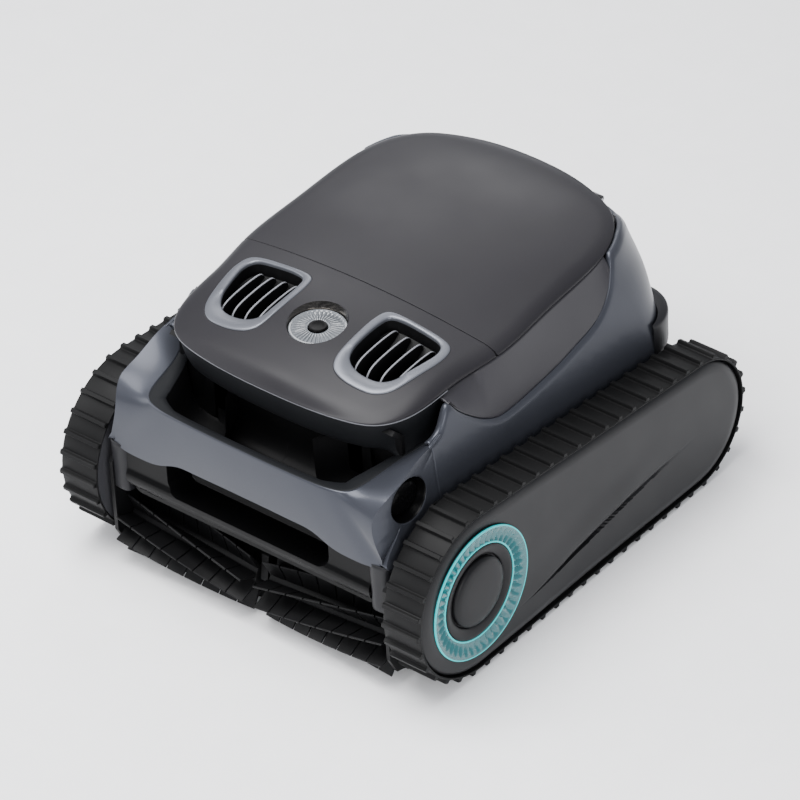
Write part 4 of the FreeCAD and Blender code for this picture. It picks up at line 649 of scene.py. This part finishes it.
ridge = arm_face[:, -1]
ridge_yz = ridge[:, 1:]
side_low = even(np.array([ridge_yz[-1], (-215, 131), (-206, 126), (-196, 119), (-126, 119), ridge_yz[0]]), 90)
arm_outline = np.vstack((ridge_yz[:-1], side_low[:-1]))
eye_turn = np.stack((EYE_STRETCH * np.cos(turn), np.sin(turn)), axis=1)
eye = np.array((SONAR_Y, SONAR_Z)) + SONAR_RADIUS * eye_turn
arm_plan = ring_patch(eye, (SONAR_Y, SONAR_Z), arm_outline, np.linspace(0, 1, 22))
arm_grid = np.dstack((arm_side(arm_plan), arm_plan))
ridge_shift = np.zeros(arm_grid.shape[1])
ridge_shift[:len(ridge) - 1] = (ridge[:, 0] - arm_side(ridge_yz))[:-1]
arm_grid[:, :, 0] += np.linspace(1, 0, 22)[:, None] ** 1.6 * ridge_shift
# the rear edge tucks half a millimetre under the flank
arm_grid[:, :, 0] -= 0.5 * np.clip((arm_grid[:, :, 1] + 143) / 5, 0, 1)
front_parts = []
for name, side in SIDES:
    for grid in (arm_face, bar_face, under):
        front_parts.append(skin(grid, side, loop=False))
    front_parts.append(skin(arm_grid, side))
piece("front_grip_frame", front_parts, paint, "body",
      ["front_crossbar", "front_arm_left", "front_arm_right"], inside=(0, -150, 150), wall=2.0, sharp=33, merge=0.03)
# the band along the hollow's edge takes the darkened lacquer: painted shade
piece("grip_edge_band", [skin(band_grid, side, loop=False) for _, side in SIDES], shaded_lacquer,
      "body", inside=(0, -150, 100), sharp=50, merge=0.03)
piece("hand_hollow_liner", [skin(liner_grid, side, loop=False) for _, side in SIDES],
      black_abs, "body", inside=(0, -150, 400), sharp=50, merge=0.03)
# rows of the lip follow the arm's side, rows of the lens lie flat; each is (radius, depth or half-width)
EYE_LIP = ((SONAR_RADIUS, 0.1), (20.2, -0.6), (19.8, -2.0))
EYE_LENS = ((19.4, 149.0), (18.6, 147.8), (16.0, 147.6), (15.6, 151.6), (14.4, 152.9), (9.0, 154.0), (0.0, 154.6))
eye_rows = [np.column_stack((arm_side(eye) + depth, np.array((SONAR_Y, SONAR_Z)) + radius * eye_turn))
            for radius, depth in EYE_LIP]
eye_rows += [np.column_stack((np.full(len(turn), x), np.array((SONAR_Y, SONAR_Z)) + radius * eye_turn))
             for radius, x in EYE_LENS]
eye_grid = np.array(eye_rows)
piece("sonar_eyes", [skin(eye_grid, side) for _, side in SIDES],
      gloss_black, "body", ["sonar_sensors"], inside=(0, SONAR_Y, SONAR_Z), sharp=35)

# ---------------------------------------------------------------- neck under the deck
# Below the deck's rim a satin wall turns under into the hand hollow. It takes the darkened lacquer, painted shade under
# the rim's overhang.
neck_rim = half[(half[:, 1] < -96) & (half[:, 0] >= 0)]
neck_rim = even(neck_rim, 90)
tangent = np.gradient(neck_rim, axis=0)
neck_in = np.column_stack((-tangent[:, 1], tangent[:, 0])) / np.linalg.norm(tangent, axis=1)[:, None]
NECK_FRONT = ((2.2, 0.5), (2.6, -3.0), (3.4, -9.0), (6.0, -20.0), (9.5, -31.0), (11.0, -34.5), (13.5, -36.5),
              (20.0, -37.5), (44.0, -38.0))
NECK_SIDE = ((2.2, 0.5), (2.6, -3.0), (4.0, -9.0), (6.5, -18.0), (7.5, -27.0), (7.0, -34.0), (5.0, -39.5),
             (2.0, -43.0), (-3.0, -46.0))
aside = np.clip((neck_rim[:, 1] + 172) / 22, 0, 1)
aside = (aside * aside * (3 - 2 * aside))[:, None]
neck_rows = [(front[0] + (beside[0] - front[0]) * aside, (front[1] + (beside[1] - front[1]) * aside)[:, 0])
             for front, beside in zip(NECK_FRONT, NECK_SIDE)]
neck_grid = ribbon(neck_rim, rim_height(neck_rim[:, 1]), neck_in, neck_rows)
neck_grid[:, :, 0] = np.maximum(neck_grid[:, :, 0], 0)
piece("deck_neck", [skin(neck_grid, side, loop=False) for _, side in SIDES], shaded_lacquer, "body",
      inside=(0, -60, 240), wall=0.0, sharp=45, merge=0.03)

# a moulded lip runs along the seam under the rim, coloured pale grey as a painted highlight: the thin bright line of
# the rim's rounded edge, parting deck and neck
seam_highlight_finish = finish("seam_lip_painted_highlight", "#66676c", "#6e6f74", 0.6, 0.0, 0.35, IOR=1.5)
SEAM_ROWS = ((1.2, -0.6), (0.3, -0.7), (0.0, -1.1), (0.15, -1.6), (0.9, -1.9), (2.4, -2.0))
seam_grid = ribbon(neck_rim, rim_height(neck_rim[:, 1]), neck_in, SEAM_ROWS)
seam_grid[:, :, 0] = np.maximum(seam_grid[:, :, 0], 0)
piece("deck_seam_lip", [skin(seam_grid, side, loop=False) for _, side in SIDES], seam_highlight_finish, "body",
      inside=(0, -60, 255), sharp=60, merge=0.03)

# ---------------------------------------------------------------- lower front
# A black moulded panel closes the front under the crossbar, with a long finger slot and a ledge below it.
# Dark grey legs stand at its ends, between the crossbar's points and the brush.
SLOT_HALF, SLOT_LOW, SLOT_HIGH, SLOT_ROUND = 95.0, 105.0, 147.0, 14.0
INSERT_HALF, INSERT_LOW, INSERT_HIGH = 143.0, 82.0, 150.0
INSERT_FACE = [(80, -213), (92, -214), (94.5, -221.0), (100, -222.6), (104.5, -223.0), (108, -222.4),
               (111, -219.6), (151, -219.4)]


def rounded_box(half_width, low, high, radius, count):
    """A rounded rectangle as an even loop, from its corner arcs."""
    quarter = np.linspace(0, math.pi / 2, 12)
    corners = []
    for k, (u, v) in enumerate(((half_width - radius, high - radius), (radius - half_width, high - radius),
                                (radius - half_width, low + radius), (half_width - radius, low + radius))):
        corners.append(np.column_stack((u + radius * np.cos(quarter + k * math.pi / 2),
                                        v + radius * np.sin(quarter + k * math.pi / 2))))
    loop = np.vstack(corners)
    return even(np.vstack((loop, loop[:1])), count + 1)[:-1]


slot_loop = rounded_box(SLOT_HALF, SLOT_LOW, SLOT_HIGH, SLOT_ROUND, 400)
plate_loop = rounded_box(INSERT_HALF, INSERT_LOW, INSERT_HIGH, 10.0, 400)
share = np.concatenate((np.linspace(0, 0.93, 26), [0.97, 1.0]))[:, None, None]
insert_plan = plate_loop[None] * (1 - share) + slot_loop[None] * share
insert_front = np.interp(insert_plan[..., 1], *np.array(INSERT_FACE).T)
insert_grid = np.stack((insert_plan[..., 0], insert_front, insert_plan[..., 1]), axis=2)
slot_rows = [insert_grid[-1] + (0, step, 0) for step in (0.8, 12.0, 30.0)]
slot_middle = np.array((0, (SLOT_LOW + SLOT_HIGH) / 2))
slot_rows[0][:, [0, 2]] = slot_rows[0][:, [0, 2]] * 0.997 + slot_middle * 0.003
insert_grid = np.concatenate((insert_grid, np.array(slot_rows)))
piece("front_panel", [skin(insert_grid)], gloss_black, "body",
      ["front_insert"], inside=(0, 0, 120), sharp=35)
# grey ABS: dull, with a fine spark-eroded grain
grey_abs = finish("grey_moulded_frame_abs", "#161618", "#1b1b1e", 0.7, 0.03, 0.42, IOR=1.52)
LEG_SECTION = [(142.5, -200), (142.5, -216), (143.4, -220), (146, -221.6), (156, -221.8), (160.5, -220.6),
               (163, -217.5), (163.6, -212), (163.6, -198)]
leg_section = smooth_line(LEG_SECTION, 40)
leg_levels = np.concatenate(([84, 84.6, 86], np.linspace(90, 137, 12)))
leg_taper = np.concatenate(([1.6, 0.5, 0.0], np.zeros(12)))
leg_grid = np.stack([np.column_stack((leg_section[:, 0], leg_section[:, 1] + taper, np.full(40, z)))
                     for z, taper in zip(leg_levels, leg_taper)])
piece("front_legs", [skin(leg_grid, side, loop=False) for _, side in SIDES], grey_abs, "body",
      inside=(0, 0, 110), wall=2.0, sharp=50)

# ---------------------------------------------------------------- brush rollers
# Two scrubbing rollers turn side by side under the front edge. Each is a moulded core with thin rubber
# blades wound into a chevron, and the blades are slit across so that they flick over the pool floor.
# soft rubber: black, with dim broad highlights along the blades
brush_rubber = finish("moulded_black_rubber", "#070708", "#0d0d0e", 0.9, 0.05, 0.5, IOR=1.5)
BRUSH_Y, BRUSH_Z, BRUSH_INNER, BRUSH_OUTER = -194.79, 36.89, 6.5, 157.5
BLADES, SEGMENTS, BLADE_TWIST, SLIT = 9, 8, math.radians(-46), 1.7
BLADE_SECTION = ((12.0, -2.4), (24.0, -1.3), (33.5, -1.0), (35.1, -0.9), (35.55, -0.3), (35.55, 0.3), (35.1, 0.9),
                 (33.5, 1.0), (24.0, 1.3), (12.0, 2.4))
CORE_PROFILE = ((0.0, BRUSH_INNER), (8.0, BRUSH_INNER), (12.4, BRUSH_INNER + 0.6), (13.0, BRUSH_INNER + 1.4),
                (13.0, BRUSH_OUTER - 1.4), (12.4, BRUSH_OUTER - 0.6), (8.0, BRUSH_OUTER), (0.0, BRUSH_OUTER))
pitch = (BRUSH_OUTER - BRUSH_INNER) / SEGMENTS
blade_radius, blade_side = np.array(BLADE_SECTION).T
brush_parts = []
for blade in range(BLADES):
    for segment in range(SEGMENTS):
        x = BRUSH_INNER + segment * pitch + np.linspace(SLIT / 2, pitch - SLIT / 2, 4)
        angle = 2 * math.pi * blade / BLADES + BLADE_TWIST * (x - BRUSH_INNER) / (BRUSH_OUTER - BRUSH_INNER)
        cos, sin = np.cos(angle)[:, None], np.sin(angle)[:, None]
        grid = np.stack((np.broadcast_to(x[:, None], (4, len(blade_radius))),
                         BRUSH_Y + blade_radius * cos - blade_side * sin,
                         BRUSH_Z + blade_radius * sin + blade_side * cos), axis=2)
        brush_parts.append(skin(capped(grid)))
brush_parts.append(skin(revolve(CORE_PROFILE, (BRUSH_Y, BRUSH_Z), "x", 48)))
for name, side in SIDES:
    piece(f"brush_{name}", [(mirrored(grid, side), quads) for grid, quads in brush_parts], brush_rubber,
          f"{name}_brush", [f"brush_roller_{name}"], sharp=35)

# ---------------------------------------------------------------- tracks
# Each side runs on a moulded rubber belt round a large front wheel and a smaller rear one.
# The belt is a flat band with full-width lugs, narrow at the tip so that they bite on wet tile.
# belt rubber, dusty with use: flat black lugs over darker gaps
belt_rubber = finish("dusty_black_track_rubber", "#080808", "#0c0c0d", 0.8, 0.06, 0.55, IOR=1.5)
FRONT_AXLE, REAR_AXLE = np.array((-151.4, 88.6)), np.array((166.9, 73.1))
LUGS, LUG_HEIGHT = 56, 4.3
BELT_INNER, BELT_OUTER = 168.9, 211.3
BAND_SECTION = ((BELT_INNER + 0.4, -2.0), (BELT_INNER, -1.2), (BELT_INNER + 0.3, -0.3), (BELT_INNER + 1.2, 0.0),
                (BELT_OUTER - 1.2, 0.0), (BELT_OUTER - 0.3, -0.3), (BELT_OUTER, -1.2), (BELT_OUTER - 0.4, -2.0))
LUG_SECTION = ((-3.3, -0.4), (-2.4, 0.8), (-2.1, 3.5), (-1.7, 4.05), (1.7, 4.05), (2.1, 3.5), (2.4, 0.8), (3.3, -0.4))
LUG_ENDS = ((0.3, 0.72), (0.9, 0.96), (2.5, 1.0))


def wrap_line(front_radius, rear_radius, count):
    """The outline of a band round both wheels: two arcs and their outer tangents, as even points
    in side view with their outward directions. It starts at the top of the front wheel."""
    away = REAR_AXLE - FRONT_AXLE
    heading = math.atan2(away[1], away[0])
    lean = math.acos((front_radius - rear_radius) / np.hypot(*away))
    top, bottom = heading + lean, heading - lean
    rear_arc = np.linspace(top, bottom, 400)
    front_arc = np.linspace(bottom, top - 2 * math.pi, 400)
    arcs = [np.column_stack((radius * np.cos(a), radius * np.sin(a))) + axle
            for a, radius, axle in ((rear_arc, rear_radius, REAR_AXLE), (front_arc, front_radius, FRONT_AXLE))]
    loop = even(np.vstack((arcs[1][-1:], arcs[0], arcs[1])), count + 1)[:-1]
    way = np.roll(loop, -1, axis=0) - np.roll(loop, 1, axis=0)
    way /= np.linalg.norm(way, axis=1)[:, None]
    return loop, np.column_stack((-way[:, 1], way[:, 0]))


band_line, band_out = wrap_line(88.6 - LUG_HEIGHT, 73.1 - LUG_HEIGHT, 448)
band_x, band_rise = np.array(BAND_SECTION).T
band_points = band_line[:, None] + band_out[:, None] * band_rise[None, :, None]
belt_grid = np.dstack((np.broadcast_to(band_x, band_points.shape[:2]), band_points))
belt_parts = [(belt_grid, lattice(*belt_grid.shape[:2], wrap_rows=True, wrap_columns=True))]
lug_along, lug_rise = np.array(LUG_SECTION).T
lug_x = [BELT_INNER + inset for inset, _ in LUG_ENDS] + [BELT_OUTER - inset for inset, _ in LUG_ENDS[::-1]]
lug_scale = [s for _, s in LUG_ENDS] + [s for _, s in LUG_ENDS[::-1]]
for station in range(0, len(band_line), len(band_line) // LUGS):
    out = band_out[station]
    way = np.array((out[1], -out[0]))
    section = band_line[station] + lug_along[:, None] * way
    grid = np.stack([np.column_stack((np.full(len(lug_along), x), section + (lug_rise * scale)[:, None] * out))
                     for x, scale in zip(lug_x, lug_scale)])
    belt_parts.append(skin(capped(grid)))
for name, side in SIDES:
    piece(f"belt_{name}", [(mirrored(grid, side), quads) for grid, quads in belt_parts], belt_rubber, "body",
          [f"track_belt_{name}"], sharp=30)

# ---------------------------------------------------------------- track covers
# A satin moulded cover closes each track's outer side. Its upper part swells out and rolls under along
# a long crease that opens into a slit behind the front wheel, over a flat lower skirt.
# satin ABS: a soft highlight follows the rounded edge
cover_abs = finish("satin_moulded_track_cover", "#0f0f11", "#131315", 0.7, 0.02, 0.42, IOR=1.5,
                   Coat_Weight=0.12, Coat_Roughness=0.3)
COVER_FRONT, COVER_REAR, COVER_FACE, RING_SEAT = 81.6, 66.1, 212.2, 66.0
CREASE = [(-110, 37), (-85, 37.5), (-52, 40), (-13, 44.6), (45, 52.5), (108, 61.5), (180, 68)]
CREASE_OPEN = [(-100, 0), (-80, 0.12), (-50, 0.5), (-20, 0.9), (20, 1.0), (60, 0.85), (100, 0.45),
               (135, 0.12), (165, 0)]


def cover_face(points, edge):
    """Height of the cover's face: an eased edge, a swelling above the crease that fades upwards, and
    a valley just above the crease as deep as the slit is open there."""
    y, z = points[..., 0], points[..., 1]
    above = z - np.interp(y, *smooth_line(CREASE, 300).T)
    depth = np.clip(np.interp(y, *np.array(CREASE_OPEN).T), 0, 1)
    face = COVER_FACE - 7.0 * (1 - np.sqrt(1 - np.clip(1 - edge / 13.0, 0, 1) ** 2))
    face -= 0.9 * depth * (above < 0)
    roll = np.clip(above / (2.0 + 9.0 * depth), 0, 1)
    valley = np.where(above >= 0, (1 - roll) ** 1.6, 0) * 5.2 * depth
    swell = np.where(above >= 0, np.exp(-((above - 16) / 16) ** 2), 0) * 1.1 * depth
    fall = 2.4 * np.clip((above - 30) / 90, 0, 1) ** 1.5
    return face - valley + swell - fall


cover_line = wrap_line(COVER_FRONT, COVER_REAR, 640)[0]
cover_steps = np.concatenate(([0, .002, .006, .012, .02, .03], np.linspace(.042, 1, 86)))
ring_seat = FRONT_AXLE + RING_SEAT * np.stack((np.cos(turn), np.sin(turn)), axis=1)
cover_plan = ring_patch(ring_seat, FRONT_AXLE, cover_line, cover_steps)
edge_gap = distance_to_line(cover_plan, cover_line)
cover_grid = np.dstack((cover_face(cover_plan, edge_gap), cover_plan))
skirt_rows = [np.column_stack((np.full(len(cover_line), x), cover_line)) for x in (199.0, 203.5)]
seat_rows = [np.column_stack((np.full(len(cover_line), x), cover_plan[-1])) for x in (COVER_FACE - 0.9, 207.5)]
cover_grid = np.concatenate((np.array(skirt_rows), cover_grid, np.array(seat_rows)))
for name, side in SIDES:
    piece(f"track_side_cover_{name}", [skin(cover_grid, side)],
          cover_abs, "body", [f"track_cover_{name}"], inside=(0, 20, 80), sharp=28)

# ---------------------------------------------------------------- light rings and hub caps
# A ring of ribbed clear polycarbonate round each front hub carries a teal status light.
# The hub inside it is a dark dished collar with a domed cap snapped into its middle.
# teal polycarbonate, faintly lit from behind: glossy ribs of deep colour
lamp = finish("ribbed_polycarbonate_lamp", "#063c41", "#085258", 1.2, 0.0, 0.2, spread=0.04, IOR=1.585,
              Coat_Weight=0.3, Coat_Roughness=0.05, Emission_Color=linear("#1ca8ac"),
                 Emission_Strength=0.12, Specular_IOR_Level=0.5)
# the lamp's two rims, where its light leaves the plastic: bright turquoise lines
lamp_edge = finish("lit_polycarbonate_edge", "#0f8f94", "#14a0a4", 1.2, 0.0, 0.25, spread=0.04, IOR=1.585,
                   Emission_Color=linear("#45d8da"), Emission_Strength=0.5)
# satin ABS: a dark dome with one soft highlight
hub_abs = finish("satin_moulded_hub", "#0d0d0f", "#111113", 0.7, 0.02, 0.38, IOR=1.5)
RING_PROFILE = ((65.7, 209.0), (65.6, 212.4), (65.2, 213.2), (64.4, 213.4), (63.4, 213.1), (62.2, 212.4), (60.0, 211.9),
                (56.0, 211.2), (52.0, 210.6), (49.6, 210.3), (48.4, 210.5), (47.4, 210.2), (47.0, 208.8))
HUB_PROFILE = ((47.1, 208.6), (46.6, 210.4), (45.4, 210.9), (43.0, 210.7), (40.0, 209.9), (37.6, 209.0), (36.0, 208.0),
               (35.3, 206.6), (34.7, 206.6), (34.5, 209.6), (33.6, 211.0), (31.4, 212.2), (27.0, 213.0), (20.0, 213.5),
               (10.0, 213.8), (0.0, 213.9))
RIBS, RIB_STEPS = 44, 8
ring_grid = revolve(RING_PROFILE, FRONT_AXLE, "x", RIBS * RIB_STEPS)
phase = (np.arange(RIBS * RIB_STEPS) % RIB_STEPS) / RIB_STEPS
ring_grid[6:10, :, 0] -= (2.6 * np.abs(2 * phase - 1) ** 1.3) * np.array((0.7, 1.0, 1.0, 0.6))[:, None]
hub_grid = revolve(HUB_PROFILE, FRONT_AXLE, "x", 144)
EDGE_BEAD = np.array(((-0.75, -1.2), (-0.75, 0.0), (-0.4, 0.42), (0.4, 0.42), (0.75, 0.0), (0.75, -1.2), (-0.75, -1.2)))
BEAD_PLACES = ((64.9, 213.15), (48.4, 210.6))
edge_grids = [revolve(EDGE_BEAD + place, FRONT_AXLE, "x", 144) for place in BEAD_PLACES]
for name, side in SIDES:
    piece(f"status_ring_{name}", [skin(ring_grid, side)], lamp,
          "body", [f"light_ring_{name}"], inside=(0, -151, 89), sharp=35)
    piece(f"status_ring_edges_{name}", [skin(grid, side) for grid in edge_grids], lamp_edge, "body",
          sharp=60)
    piece(f"hub_dome_{name}", [skin(hub_grid, side)], hub_abs,
          "body", [f"hub_cap_{name}"], inside=(0, -151, 89), sharp=50)

# ---------------------------------------------------------------- rear grip and lid hinge
# A hollow ledge wraps the rear corners: the second hand hold. Above it the shell is notched for the lid's
# two hinge ears, which turn on steel pins in front of a low inner wall.
GRIP_ROWS = ((-0.2, 170.0), (0.05, 169.6), (0.5, 168.6), (0.85, 167.4), (0.97, 166.0), (1.0, 163.5), (0.97, 157.0),
             (0.94, 146.0), (0.94, 138.0), (0.9, 134.5), (0.8, 132.8), (0.66, 133.2), (0.6, 136.0), (0.56, 150.0),
             (0.3, 158.0), (-0.2, 161.0))
GRIP_REACH = 13.0
grip_columns = [("arc", a) for a in np.linspace(0.12, math.pi / 2, 40)[:-1]]
grip_columns += [("rear", s) for s in np.linspace(0, 1, 20)]
grip_rows = []
for kind, place in grip_columns:
    x, y, lean = shell_column(kind, place, np.array(150.0))
    reach = GRIP_REACH * math.sin(lean) ** 1.2
    grip_rows.append([(float(x) + share * reach * math.cos(lean), float(y) + share * reach * math.sin(lean), z)
                      for share, z in GRIP_ROWS])
grip_grid = np.array(grip_rows)
piece("rear_hand_grip", [skin(grip_grid, side, loop=False) for _, side in SIDES], grey_abs,
      "body", ["rear_grip"], inside=(0, 190, 176), sharp=40, merge=0.05)
EAR_RADIUS, HINGE_Y, HINGE_Z = 5.0, 200.0, 257.0
half_turn = np.linspace(math.pi, 2 * math.pi, 24)
pin = np.array((HINGE_Y, HINGE_Z))
ear_arc = pin + EAR_RADIUS * np.column_stack((np.cos(half_turn), np.sin(half_turn)))
EAR_ARM = ((204.3, 259.0), (201.0, 261.5), (192.0, 266.5), (184.0, 267.0), (190.0, 262.0), (194.5, 259.0))
ear_loop = np.vstack((ear_arc, EAR_ARM))
ear_parts = []
for low, high in ((68.0, 80.0), (-80.0, -68.0)):
    grid = np.stack([np.column_stack((np.full(len(ear_loop), x), (ear_loop - pin) * scale + pin))
                     for x, scale in ((low, 0.9), (low + 0.5, 1.0), (high - 0.5, 1.0), (high, 0.9))])
    ear_parts.append(skin(capped(grid)))
piece("lid_hinge_ears", ear_parts, cover_paint, "lid", sharp=40)
wall_x = np.linspace(-64, 64, 90)
WALL_ROWS = ((203.6, 236.0), (203.4, 250.0), (202.6, 258.0), (201.6, 259.4), (199.6, 259.4), (198.8, 255.0),
             (198.6, 236.0))
wall_grid = np.stack([np.column_stack((wall_x, np.full(90, y), np.full(90, z))) for y, z in WALL_ROWS], axis=1)
# the inner wall takes the darkened lacquer: painted shade behind the lid's hinge
piece("hinge_wall", [skin(capped(wall_grid))], shaded_lacquer, "body", sharp=40)

# ---------------------------------------------------------------- frame pieces kept as they are
# The moulded chassis, wheels, gears, motors, pumps and filter keep their own shapes, and take the finish
# of their slot: glass-filled black nylon, grey acetal wheels, stainless steel, woven nylon mesh.
# glass-filled nylon is coarse and dull, acetal waxy, the seal soft and flat, steel bright and blurred,
# the basket plain charcoal and the mesh rough and pale
chassis_nylon = finish("glass_filled_nylon_chassis", "#131314", "#1a1a1c", 0.8, 0.05, 0.5, IOR=1.53)
wheel_acetal = finish("grey_acetal_wheel", "#2e2e31", "#37373a", 0.9, 0.03, 0.42, IOR=1.48)
seal_rubber = finish("soft_seal_rubber", "#1b1b1c", "#232325", 0.6, 0.04, 0.7, IOR=1.52)
steel = finish("brushed_stainless_steel", "#8d8e90", "#a4a5a8", 0.5, 0.01, 0.3, Metallic=1.0)
basket_abs = finish("charcoal_basket_abs", "#2b2c2f", "#343539", 0.8, 0.03, 0.45, IOR=1.52)
mesh_nylon = finish("fine_white_nylon_mesh", "#9a9c9e", "#c6c8ca", 0.9, 0.2, 0.7, IOR=1.53)
SLOT_FINISHES = {"painted_shell": paint, "satin_cover": cover_paint, "track_cover": cover_abs, "silver_frame": plating,
                 "black_plastic": black_abs, "chassis_plastic": chassis_nylon, "belt_rubber": belt_rubber,
                 "brush_rubber": brush_rubber, "seal_rubber": seal_rubber, "wheel_plastic": wheel_acetal,
                 "teal_light": lamp, "clear_bezel": clear_disc, "sensor_black": gloss_black,
                 "basket_plastic": basket_abs, "basket_mesh": mesh_nylon, "steel": steel}
for name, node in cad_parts.items():
    own = node.data.materials[0].name.split(".")[0] if node.data.materials else ""
    for place in range(len(node.data.materials)):
        node.data.materials[place] = SLOT_FINISHES[own]
